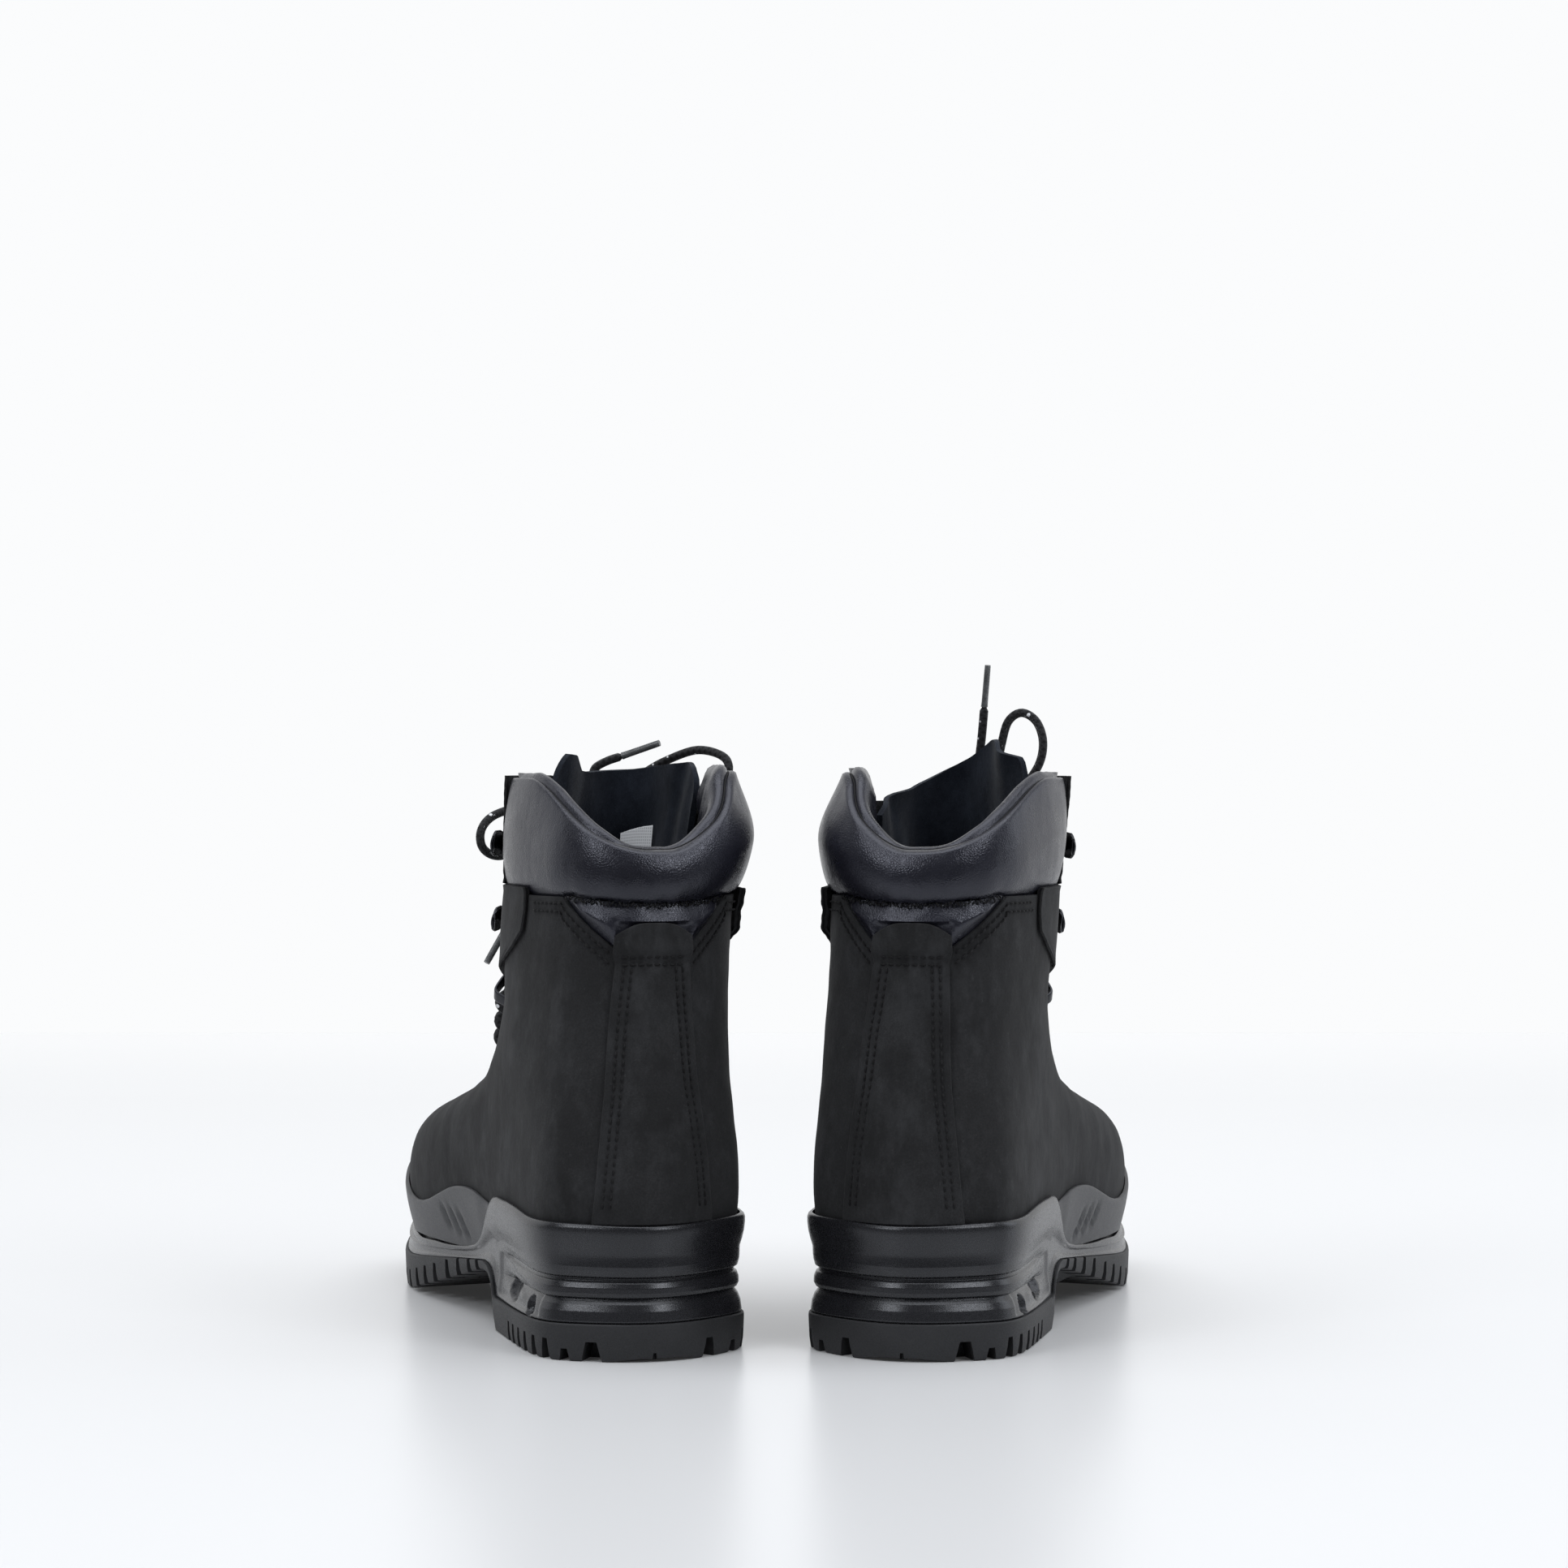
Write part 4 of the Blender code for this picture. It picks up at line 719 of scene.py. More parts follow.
MAT = {
    "nubuck": nubuck(),
    "leather": smooth_leather(),
    "midsole": moulded("midsole_pu", (0.0075, 0.0075, 0.009), (0.0118, 0.0118, 0.0138), 0.22, 0.34, 0.16),
    "rand": moulded("rand_rubber", (0.02, 0.0205, 0.022), (0.03, 0.0305, 0.033), 0.42, 0.56, 0.1, 0.1),
    "outsole": moulded("outsole_rubber", (0.0095, 0.0095, 0.01), (0.016, 0.016, 0.017), 0.52, 0.72,
                       0.14, 0.12),
    "suede": suede(),
    "edge": plain("raw_edge", (1.2, 3, 0.5), (0.006, 0.006, 0.007), (0.016, 0.016, 0.017),
                  (0.5, 3, 0.7), 0.12, 0.8, Roughness=0.85, Specular_IOR_Level=0.25),
    "lining": lining_cloth(),
    "thread": plain("thread", (0.8, 2, 0.5), (0.003, 0.003, 0.0035), (0.008, 0.008, 0.009),
                    (0.25, 2, 0.5), 0.05, 0.7, Roughness=0.7, Specular_IOR_Level=0.25),
    "lace": lace_cloth(),
    "aglet": aglet_film(),
    "dark_metal": metal("dark_metal", (0.035, 0.036, 0.04), 0.24, 0.38, 0.25),
    "bright_metal": metal("bright_metal", (0.52, 0.53, 0.55), 0.12, 0.24, 0.2),
    "felt": plain("felt", (1.0, 5, 0.8), (0.012, 0.012, 0.014), (0.045, 0.045, 0.05),
                  (0.6, 4, 0.8), 0.25, 0.9, Roughness=1.0, Sheen_Weight=0.3, Specular_IOR_Level=0.1),
    "board": fibre("board", (0.2, 0.16, 0.11), (0.36, 0.3, 0.22), 0.9),
    "stiffener": fibre("stiffener", (0.42, 0.38, 0.3), (0.6, 0.55, 0.45), 0.8),
    "steel": metal("spring_steel", (0.3, 0.3, 0.31), 0.28, 0.42, 0.1),
    "label": label_cloth(),
}


# ------------------------------------------------------------------ stage: camera, light, floor
def make_camera():
    camera = bpy.data.cameras.new("camera")
    camera.lens, camera.sensor_width = 82.4, 36.0
    camera.clip_start, camera.clip_end = 0.05, 60.0
    obj = new_object("camera", camera)
    obj.location = (0.0075, -1.4656, 0.2128)
    obj.rotation_euler = (math.radians(90), 0, 0)
    bpy.context.scene.camera = obj


FLOOR_FRONT, FLOOR_BACK = -0.56, 1.6
LIGHTS = (                       # name, place, aim, size, power in watts
    ("top", (0.0, -0.3, 1.9), (0.0, -0.02, 0.1), (2.6, 1.6), 38),
    ("left", (-1.9, 0.35, 0.9), (0.0, 0.0, 0.12), (0.9, 1.5), 3.5),
    ("right", (1.9, 0.25, 0.9), (0.0, 0.0, 0.12), (0.9, 1.5), 8),
    ("front_left", (-1.35, -1.45, 1.35), (0.0, 0.0, 0.14), (0.9, 0.7), 12),
    ("front_right", (1.35, -1.45, 1.35), (0.0, 0.0, 0.14), (0.9, 0.7), 13),
)


def make_stage():
    """Pale floor with painted light: its emission glow grows lighter towards a lit wall; and five soft
    lights.
    """
    scene = bpy.context.scene
    scene.view_settings.view_transform = "Standard"
    world = bpy.data.worlds.new("studio")
    world.use_nodes = True
    background = world.node_tree.nodes["Background"].inputs
    background["Color"].default_value = (0.93, 0.96, 1.0, 1)
    background["Strength"].default_value = 0.16
    scene.world = world
    floor_mat = Shader("floor_paper")
    depth = floor_mat.tree.nodes.new("ShaderNodeSeparateXYZ")
    floor_mat.link(floor_mat.coords.outputs["Object"], depth.inputs[0])
    share = floor_mat.math("MULTIPLY", depth.outputs["Y"], 1 / FLOOR_BACK)
    # painted light: the floor glows by emission, faintly near the boots and more towards the back wall, in
    # place of light falling on it
    far = floor_mat.ramp(share, (0.0, 0.02), (0.25, 0.08), (0.6, 0.15), (0.95, 0.26))
    floor_mat.set(Base_Color=(0.665, 0.668, 0.675, 1), Roughness=0.30, Specular_IOR_Level=0.5,
                  Emission_Color=far, Emission_Strength=1.0)
    wall_mat = Shader("lit_wall")
    wall_mat.set(Base_Color=(0.0, 0.0, 0.0, 1), Roughness=1.0, Specular_IOR_Level=0.0,
                 Emission_Color=(0.965, 0.972, 0.98, 1), Emission_Strength=1.0)
    stage_mesh("floor", [(FLOOR_FRONT, 0.0), (FLOOR_BACK, 0.0)], floor_mat.mat)
    curve = [(FLOOR_BACK + math.sin(a), 1.0 - math.cos(a)) for a in np.linspace(0, math.pi / 2, 15)]
    stage_mesh("wall", curve + [(FLOOR_BACK + 1.0, 4.0)], wall_mat.mat)
    for name, where, aim, size, power in LIGHTS:
        light = bpy.data.lights.new(name, "AREA")
        light.shape = "RECTANGLE"
        light.size, light.size_y = size
        light.energy = power
        light.color = (0.90, 0.94, 1.0) if name == "right" else (0.95, 0.97, 1.0)
        obj = new_object(name, light)
        obj.location = where
        obj.rotation_euler = (Vector(aim) - Vector(where)).to_track_quat("-Z", "Y").to_euler()


def stage_mesh(name, profile, mat):
    """A wide strip along x with the given (y, z) profile."""
    points = [(x, y, z) for y, z in profile for x in (-6.0, 6.0)]
    faces = [(2 * i, 2 * i + 1, 2 * i + 3, 2 * i + 2) for i in range(len(profile) - 1)]
    mesh = bpy.data.meshes.new(name)
    mesh.from_pydata(points, [], faces)
    mesh.materials.append(mat)
    mesh.shade_smooth()
    new_object(name, mesh)


# ------------------------------------------------------------------ grids on the last
N_SIDE = 96      # columns from the throat's edge to the heel
N_GAP = 12       # columns across the vamp


def across(e_out, e_in):
    """u of a whole row: over the vamp, back along the outer side, and forward along the inner one."""
    f = np.linspace(0, 1, N_SIDE + 1)
    gap = e_in + (e_out - e_in) * np.linspace(0, 1, N_GAP + 1)[:-1]
    outer, inner = e_out + (0.5 - e_out) * f, (e_in - (e_in + 0.5) * f)
    return np.concatenate([gap, outer, inner[1:-1][::-1]])


def throat_edges(S):
    return {sgn: float(S.u_arc(THROAT_V, sgn * float(edge_s(THROAT_Z[0])))) for sgn in (1, -1)}


def high_row(S, level, more):
    """One row above the throat: level(u) gives its height; more widens the throat."""
    e_out, e_in = 0.05, -0.05
    for _ in range(4):
        zo, zi = float(level(np.array(e_out))), float(level(np.array(e_in)))
        e_out = float(S.place(edge_s(zo) + more, zo)[0])
        e_in = float(S.place(-edge_s(zi) - more, zi)[0])
    u_row = across(e_out, e_in)
    return u_row, S.v_at(u_row, level(u_row) + 0 * u_row)


def wrap_grid(S, low_rows, levels, more):
    """(u, v) of a skin that is closed over the vamp up to THROAT_V and open at the throat above."""
    edges = throat_edges(S)
    low_u = across(edges[1], edges[-1])
    U, V = [low_u] * len(low_rows), [np.full(len(low_u), v) for v in low_rows]
    for level in levels:
        u_row, v_row = high_row(S, level, more)
        U.append(u_row)
        V.append(v_row)
    U, V = np.array(U), np.array(V)
    keep = np.ones((len(U) - 1, U.shape[1]), bool)
    keep[len(low_rows) - 1:, :N_GAP] = False
    return U, V, keep


def throat_z(S, u):
    return S.at(u, THROAT_V + 0 * u)[..., 2]


def notch_at(s):
    """Top edge of the quarters: at the collar's seam, dipping to the backstay's tab."""
    slope = np.where(np.asarray(s) > 0, 24, 20)
    return NOTCH_Z + (SEAM_Z - 0.3 - NOTCH_Z) * np.clip((np.abs(s) - 15) / slope, 0, 1)


def upper_levels(S, count):
    """Heights of count rows from the throat's foot to the quarters' top edge, as functions of u."""
    def level(f):
        return lambda u: throat_z(S, u) + (notch_at(S.s_back(u)) - throat_z(S, u)) * f

    return [level(f) for f in np.linspace(0, 1, count + 1)[1:]]


# ------------------------------------------------------------------ stitches
def stitches(lines, pitch=3.1, long=2.3, thick=0.82, height=0.32):
    """Thread along lines of (points, normals), each stitch a little bar with sunk ends."""
    parts = []
    for points, normals in lines:
        run = run_of(points)
        for c in np.arange(pitch / 2, run[-1], pitch):
            at = np.array([c - long / 2, c - long * 0.3, c, c + long * 0.3, c + long / 2])
            p, n = sample(points, run, at), sample(normals, run, c)
            n /= np.linalg.norm(n)
            p = p + n * (height * np.array([-1.2, 0.55, 1.0, 0.55, -1.2]))[:, None]
            parts.append(tube(p, thick / 2 * np.array([0.5, 1, 1, 1, 0.5]), 6))
    return joined(parts)


def skin(S, u, v, out, inn, keep=None, wrap=False):
    """Closed shell between two heights over the last."""
    return shell(S.off(u, v, out), S.off(u, v, inn), keep, wrap)


def on_surface(S, s, z, h):
    """Points and normals h mm off the skin, s mm round from the back centre line."""
    u, v = S.place(s, z, back=True)
    return S.off(u, v, h), S.normal(u, v)


# ------------------------------------------------------------------ the parts of one boot
def make_upper(side, S):
    low_rows = tuple(np.linspace(0.03, THROAT_V, 34))
    U, V, keep = wrap_grid(S, low_rows, upper_levels(S, 40), 0.0)
    P = S.at(U, V)
    y, z = P[..., 1], P[..., 2]
    h = wobble(P, 26, 0.5, 1) + wobble(P, 9, 0.22, 2)
    bend = np.exp(-((y - 178) / 22) ** 2) * smooth((z - 40) / 20)     # flex creases across the vamp
    h = h + bend * 0.22 * np.sin((y + 0.25 * P[..., 0]) / 3.4)
    h = h - 0.14 * ridge_at(y, 108, 30) * smooth((z - 60) / 40) * (1 + np.sin((z + y) / 5.0))
    h = np.minimum(h, 1.2)
    piece(side + "_upper_leather", skin(S, U, V, h, h - UPPER_THICK, keep, True), side, "nubuck",
          replaces=[side + "_upper"], bevel=0.5)


def make_lining(side, S):
    low_rows = tuple(np.linspace(0.3, THROAT_V, 26))
    levels = upper_levels(S, 18)[:14]
    top = lambda u: rim_z(S.s_back(u)) - 16.0
    start = levels[-1]
    levels += [lambda u, f=f: start(u) + (top(u) - start(u)) * f for f in np.linspace(0, 1, 19)[1:]]
    U, V, keep = wrap_grid(S, low_rows, levels, 5.5)
    P = S.at(U, V)
    Z = P[..., 2]
    thin = front_thin(S.s_back(U))
    lean = lean_in(S.s_back(U))
    deep = np.interp(Z, (172, 190), (-3.2, -8.2)) * (1 - thin) - 3.9 * thin
    t_out = np.minimum(-3.9, deep) - lean * smooth((Z - 172) / 25)
    puff = 1.6 * (1 - thin) * smooth((Z - 150) / 20) * (0.6 + 0.4 * np.cos(S.s_back(U) / 9.0))
    t_in = np.minimum(-6.0, t_out - 1.6) - puff + wobble(P, 18, 0.5, 3)
    piece(side + "_lining_cloth", skin(S, U, V, t_out, t_in, keep, True), side, "lining",
          replaces=[side + "_lining"])


def collar_rows(S, more):
    """Heights of the collar's outer rows, as functions of u, with their share of the way up."""
    shares = np.concatenate([[-0.05], np.linspace(0, 1, 23)])
    rows = []
    for f in shares:
        level = lambda u, f=f: SEAM_Z + (rim_z(S.s_back(u)) - SEAM_Z) * f
        u_row, _ = high_row(S, level, more)
        u_row = np.append(u_row[N_GAP:], u_row[0])
        rows.append((u_row, f))
    return rows


def make_collar(side, S):
    rows = collar_rows(S, 14.0)
    rings = []

    def shaped(u, z, h):
        return S.off(u, S.v_at(u, z), h)

    def uneven(s, z, size, amount, seed):
        return np.array(wobble(np.stack([s, z, 0 * s], -1), size, amount, seed))

    for u_row, f in rows:
        s = S.s_back(u_row)
        rim = rim_z(s)
        climb = (rim - SEAM_Z) * f
        z = SEAM_Z + climb - seam_sag(s) * (1 - f) ** 2
        share = np.clip(climb / (rim + 3 - SEAM_Z), 0, 1)
        bulge = np.sin(math.pi * share**0.8) ** 0.6
        size = np.interp(s, (-32, 32), (5.0, 3.2))
        under_flap = smooth((104 - np.abs(s)) / 6.0)      # flat where the facing lies over it
        h = -1.9 + 0.55 * seam_sag(s) * (1 - share) + (0.3 + 0.7 * under_flap) * bulge * (size + 1.3)
        h = h - lean_in(s) * smooth((f - 0.45) / 0.55)
        if 0 <= f < 0.5:
            puckers = np.sin(s / 2.1 + 2 * np.sin(s / 11.0)) * np.exp(-climb / 5.5)
            h = h + 0.30 * puckers * (0.5 + 0.5 * np.sin(s / 17.0 + 1.0))
        rings.append(shaped(u_row, z, h + uneven(s, z, 21, 0.45, 5)))
    top_u = rows[-1][0]
    s = S.s_back(top_u)
    rim = rim_z(s)
    flank = smooth((np.abs(s) - 9) / 16)       # the rim's seam shows on the flanks, hardly at the back
    thin = front_thin(s)
    lean = -lean_in(s)
    roll = ((0.5, -1.0, 0.0), (0.7, -1.9, -0.1), (0.5, -2.6, -0.9), (0.5, -3.1, -1.0), (0.9, -3.7, 0.3),
            (1.3, -4.9, 1.1), (1.3, -6.4, 1.2), (0.5, -8.0, 0.8), (-1.2, -9.2, 0.2), (-3.5, -9.8, 0.0))
    for dz, h, seam in roll:
        ripple = uneven(s, 0 * s, 9, 0.35, 6) * (h < -3.5)
        h = h * (1 - 0.6 * thin * smooth((-h - 2.0) / 4.0))
        rings.append(shaped(top_u, rim + dz + seam * flank + ripple, h + lean))
    for dz, h in ((-6.0, -10.4), (-9.0, -10.9), (-12.0, -11.0), (-15.0, -10.4), (-17.5, -9.2)):
        wrinkle = 0.45 * np.sin(s / 1.7 + 2.2 * np.sin(s / 7.0) + dz / 3.0) * flank
        rough = wrinkle + uneven(s, rim + dz, 7, 0.6, 6)
        rings.append(shaped(top_u, rim + dz, h * (1 - 0.6 * thin) + lean + rough * (1 - thin)))
    rings.append(shaped(top_u, rim - 17.0, -6.4 + lean * 0.5 + 3.4 * thin))
    low_u = rows[2][0]
    rings.append(shaped(low_u, SEAM_Z + 3.0, -3.6))
    rings = np.array(rings).transpose(1, 0, 2)
    piece(side + "_collar_leather", loft(rings), side, "leather", replaces=[side + "_collar"],
          sharp=60)
    seam = shaped(top_u, rim + 0.55 - 0.75 * flank, -2.9 + lean)[4:-4]
    parts = [tube(smooth_path(seam, 1.6), 0.40, 6)]
    parts.append(whip_stitches(S, np.arange(-33, 37, 1.5), 0.75, 1.6))
    piece(side + "_collar_seam", joined(parts), side, "thread")


def whip_stitches(S, at, out, long):
    """Ragged thread over the collar's bottom seam, one uneven tick at each distance."""
    parts = []
    for k, s in enumerate(at):
        z = SEAM_Z - 0.7 - float(seam_sag(s)) + 0.35 * math.sin(k * 2.3)
        tilt = 0.8 * math.sin(k * 5.1)
        ends = (0.5 + 0.22 * math.sin(k * 3.7)) * long
        ss = np.array([s - tilt, s - 0.4 * tilt, s + 0.4 * tilt, s + tilt])
        zz = np.array([z - ends, z - 0.4 * ends, z + 0.4 * ends, z + ends])
        u, v = S.place(ss, zz, back=True)
        lift = out + 0.25 * math.sin(k * 1.9)
        line = S.off(u, v, np.array([lift - 0.9, lift, lift, lift - 0.9]))
        parts.append(tube(line, np.array([0.2, 0.36, 0.36, 0.2]), 5))
    return joined(parts)


def make_achilles(side, S):
    cols = np.linspace(38, -34, 65)
    rows = np.linspace(0, 1, 22)
    s, f = np.meshgrid(cols, rows)
    low = notch_at(s) - 3.0
    top = SEAM_Z - 0.1 - seam_sag(s)
    z = np.maximum(low + (top - low) * f, low)
    u, v = S.place(s, z, back=True)
    near = np.minimum((z - low) - 1.0, (top - z) * 0.75 + 2.9)
    puff = smooth(near / 9.5) * smooth((np.where(s > 0, 38, 34) - np.abs(s)) / 9)
    wrinkle = 0.35 * np.sin(s / 2.4 + 1.5 * np.sin(z / 4.0)) * smooth(1 - (top - z) / 6.0)
    h = -1.5 + 4.4 * puff + wrinkle * smooth(near / 3.0) + wobble(S.at(u, v), 9, 0.5, 4) * puff
    covered = smooth((16.0 - np.abs(s)) / 3.0) * smooth((162.8 - z) / 2.4)
    h = np.minimum(h, 3.4 - 2.6 * covered)                   # pressed flat behind the pull tab
    piece(side + "_achilles_leather", skin(S, u, v, h, -3.4), side, "leather",
          replaces=[side + "_achilles_panel"])


def stay_half(z):
    return np.interp(z, (52, 75, 100, 146, 150, 160), (24.2, 21.6, 18.3, 14.4, 15.2, 14.4))


def make_backstay(side, S):
    f, t = np.meshgrid(np.linspace(1, -1, 33), np.linspace(0, 1, 70))
    top = 161.3 - 4.6 * np.abs(f) ** 4
    z = 50.5 + (top - 50.5) * t
    corner = smooth((z - 155.5) / 5.8) * 2.6
    s = f * (stay_half(z) - corner)
    u, v = S.place(s, z, back=True)
    P = S.at(u, v)
    h = 1.7 + wobble(P, 18, 0.35, 7)
    h = h + 0.9 * smooth((z - 147.5) / 3.5)                 # the pull tab stands a little proud
    h = h - 0.5 * ridge_at(z, 146.8, 2.2)       # drawn in along its stitch rows
    for edge in (3.4, 6.2):
        h = h - 0.3 * ridge_at(stay_half(z) - np.abs(s), edge, 1.1) * (z < 147)
    h = np.minimum(h, 3.0)
    piece(side + "_backstay_strip", skin(S, u, v, h, 0.2), side, "nubuck",
          replaces=[side + "_backstay"], bevel=0.45)


def plan_ring(S, u, v, inset):
    p = S.at(u, v)[:, :2]
    t = S.at(u, v, du=1)[:, :2]
    n = np.stack([-t[:, 1], t[:, 0]], -1)
    n /= np.linalg.norm(n, axis=1, keepdims=True)
    return p - n * np.asarray(inset).reshape(-1, 1)


def make_midsole(side, S):
    u = np.linspace(0, 1, 641)[:-1]
    plan = plan_ring(SOLE_PLAN, u, 0.0, np.zeros(len(u)))
    y = plan[:, 1]
    cup = np.interp(SOLE_PLAN.at(u, 0.0)[:, 1], CUP_Y, CUP_Z)
    low, high = tread_top(y) + 0.1, cup
    heel = smooth((88 - y) / 18)         # the banded heel turns into a plain wall at the waist
    rings = []
    for part in np.union1d(WALL_PART, np.linspace(0.03, 0.57, 40)):
        inset_heel = np.interp(part, WALL_PART, WALL_HEEL)
        inset_front = np.interp(part, WALL_PART, WALL_FRONT)
        z = low + (high - low) * part
        inset = inset_front + (inset_heel - inset_front) * heel + heel_window(y, z)
        rings.append(np.column_stack([plan_ring(SOLE_PLAN, u, 0.0, inset), z]))
    v_top = S.v_at(u, high)
    for part, out in WALL_CUP:
        z = low + (high - low) * part
        ring = S.off(u, np.maximum(S.v_at(u, z), 0.0), out)
        ring[:, 2] = z + (0.25 * np.sin(y / 7.0) if part > 0.98 else 0.0)
        rings.append(ring)
    for part in (0.95, 0.5, 0.0):
        ring = S.off(u, v_top * part, 1.0)
        ring[:, 2] = np.maximum(ring[:, 2], S.at(u, 0.0)[:, 2])
        rings.append(ring)
    floor = S.at(u, 0.0)[:, 2]
    rings.append(np.column_stack([plan_ring(S, u, 0.0, 0.0), floor - 0.5]))
    piece(side + "_midsole_unit", loft(rings), side, "midsole", replaces=[side + "_midsole"],
          sharp=70)


def heel_window(y, z):
    """How deep the recessed panel and its lens-shaped holes go into the heel's flanks."""
    flank = smooth((y - 27) / 2.5) * smooth((92 - y) / 3)
    top = 24.0 + 0.13 * (y - 30)
    panel = flank * smooth((z - 14.6) / 0.9) * smooth((top - z) / 0.9)
    holes = 0.0
    for centre, height, wide, tall in ((66.0, 20.2, 8.0, 4.6), (38.0, 17.6, 4.2, 4.0)):
        lens = 1 - ((y - centre) / wide) ** 2 - ((z - height) / tall) ** 2
        holes = np.maximum(holes, smooth(lens * 2.2))
    ridge = ridge_at(z, 19.5 + 0.10 * (y - 52), 2.5) * ridge_at(y, 52, 9)
    return 0.9 * panel + 2.6 * holes * flank - 0.7 * ridge * flank


def make_rand(side, S):
    u_front = np.linspace(-0.30, 0.30, 281)
    plan_y = SOLE_PLAN.at(u_front, 0.0)[:, 1]
    use = plan_y > 97
    uu = u_front[use]
    cup = np.interp(SOLE_PLAN.at(uu, 0.0)[:, 1], CUP_Y, CUP_Z)
    y = S.at(uu, 1.0)[:, 1]
    z_high = np.interp(y, RAND_Y, RAND_Z)
    z_low = np.minimum(cup - 1.0, z_high - 1.0)
    rows = np.concatenate([[0, 0.02, 0.06, 0.12], np.linspace(0.2, 0.84, 9), [0.9, 0.95, 0.985, 1.0]])
    Z = z_low + (z_high - z_low) * rows[:, None]
    U = np.broadcast_to(uu[None, :], Z.shape)
    V = S.v_at(U, Z)
    Y = np.broadcast_to(y[None, :], Z.shape)
    T = np.interp(rows, (0, 0.5, 0.9, 0.985, 1), (2.9, 2.6, 2.3, 2.0, 1.3))[:, None] + 0 * Z
    near_heel = smooth((118 - Y) / 14)
    T = T - 1.0 * near_heel
    for k, centre in enumerate((142.0, 152.0, 162.0)):     # three slanted scoops behind the ball
        along = (Y - centre) - 0.75 * (Z - 36)
        across_it = np.exp(-(along / 1.9) ** 2)
        T = T - 1.5 * across_it * smooth((Z - 29 - k) / 4) * smooth((44 - Z) / 5)
    piece(side + "_rand_band", skin(S, U, V, T, 0.6), side, "rand",
          replaces=[side + "_rand"], sharp=60)


def make_outsole(side):
    u = np.linspace(0, 1, 481)[:-1]
    plan = plan_ring(SOLE_PLAN, u, 0.0, np.zeros(len(u)))
    y = plan[:, 1]
    rings = []
    floor = tread_z(y)
    top = tread_top(y)
    for part, inset in ((0.0, 1.6), (0.03, 0.9), (0.3, 0.35), (0.9, 0.0), (0.97, 0.15), (1.0, 0.7)):
        p = plan_ring(SOLE_PLAN, u, 0.0, np.full(len(u), inset))
        rings.append(np.column_stack([p, floor + (top - floor) * part]))
    solid = piece(side + "_outsole_unit", loft(rings), side, "outsole", replaces=[side + "_outsole"],
                  sharp=35)
    mesh = new_mesh("tread_cutter", tread_cutters(plan), side)
    mesh.materials.append(MAT["outsole"])
    cutter = new_object("tread_cutter", mesh)
    mod = solid.modifiers.new("tread", "BOOLEAN")
    mod.operation, mod.object, mod.solver = "DIFFERENCE", cutter, "EXACT"
    mod.use_self = True
    graph = bpy.context.evaluated_depsgraph_get()
    cut = bpy.data.meshes.new_from_object(solid.evaluated_get(graph))
    solid.modifiers.clear()
    solid.data = cut
    cut.shade_smooth()
    cut.set_sharp_from_angle(angle=math.radians(35))
    bpy.data.objects.remove(cutter, do_unlink=True)


def block(profile, origin, ex, ey, ez, low, high):
    """A prism: profile in the ex, ey plane, from low to high along ez."""
    pts = np.array([origin + ex * a + ey * b for a, b in profile])
    n = len(pts)
    area = sum(a[0] * b[1] - a[1] * b[0] for a, b in zip(profile, profile[1:] + profile[:1]))
    if area * np.dot(np.cross(ex, ey), ez) < 0:
        pts = pts[::-1]
    points = np.concatenate([pts + ez * low, pts + ez * high])
    faces = [list(range(n))[::-1], list(range(n, 2 * n))]
    faces += [[j, (j + 1) % n, n + (j + 1) % n, n + j] for j in range(n)]
    return points, faces


def tread_cutters(plan):
    """Notches round the edge of the tread and the grooves across it."""
    step = np.linalg.norm(np.roll(plan, -1, 0) - plan, axis=1)
    run = np.concatenate([[0], np.cumsum(step)])
    heel_at = run[np.argmin(plan[:, 1])]
    parts = []
    ez = np.array([0, 0, 1.0])

    def notch(distance, wide, deep, tall):
        """distance along the edge from the heel's centre, + to the outer side"""
        where = (heel_at - distance) % run[-1]
        k = int(np.searchsorted(run, where)) % len(plan)
        t = plan[(k + 1) % len(plan)] - plan[k - 1]
        t = np.array([t[0], t[1], 0]) / np.linalg.norm(t)
        n = np.array([-t[1], t[0], 0])
        here = np.array([plan[k][0], plan[k][1], float(tread_z(plan[k][1]))])
        if np.dot(n[:2], np.array([0, np.clip(here[1], 60, 210)]) - here[:2]) < 0:
            n = -n
        profile = [(-wide / 2, -3.0), (wide / 2, -3.0), (wide / 2 * 0.45, tall), (-wide / 2 * 0.45, tall)]
        parts.append(block(profile, here, t, ez, n, -4.0, deep))

    for distance, wide, deep, tall in ((-22.5, 7.6, 12, 7.2), (26.5, 9.4, 12, 7.4), (2.0, 2.6, 4, 2.2)):
        notch(distance, wide, deep, tall)
    for sgn in (1, -1):
        for i in range(7):
            notch(sgn * (37 + 9.2 * i), 5.6, 8.5 if i < 6 else 6.0, 7.8 if i else 4.6)
        for i in range(12):
            notch(sgn * (148 + 13.6 * i), 6.4, 9.0, 7.6)
    for yy in (24, 42, 60, 76, 160, 174, 188, 202, 218, 234, 250, 266):
        wide = 4.2 if yy < 100 else 4.6 if yy < 260 else 4.0
        z = float(tread_z(yy))
        for sgn in (1, -1):
            slant = np.array([sgn * math.cos(math.radians(14)), math.sin(math.radians(14)), 0])
            across_it = np.cross(ez, slant)
            profile = [(-wide / 2, -4), (wide / 2, -4), (wide / 3.2, 4.4), (-wide / 3.2, 4.4)]
            parts.append(block(profile, np.array([sgn * 9.5 - 3, yy, z]), across_it, ez, slant, 0.0, 21.0))
    return joined(parts)


# Rear edge of each facing: height, and distance round from the front centre line.
REAR_Z = (89, 112, 128, 136, 141, 146, 151, 157, 165, 173.4, 174.2, 216)
REAR_EDGE = {
    1: (26, 36, 43, 50, 64, 86, 97, 104, 102, 98, 66, 64),
    -1: (26, 36, 43, 50, 62, 76, 95, 105, 110, 112, 62, 58),
}


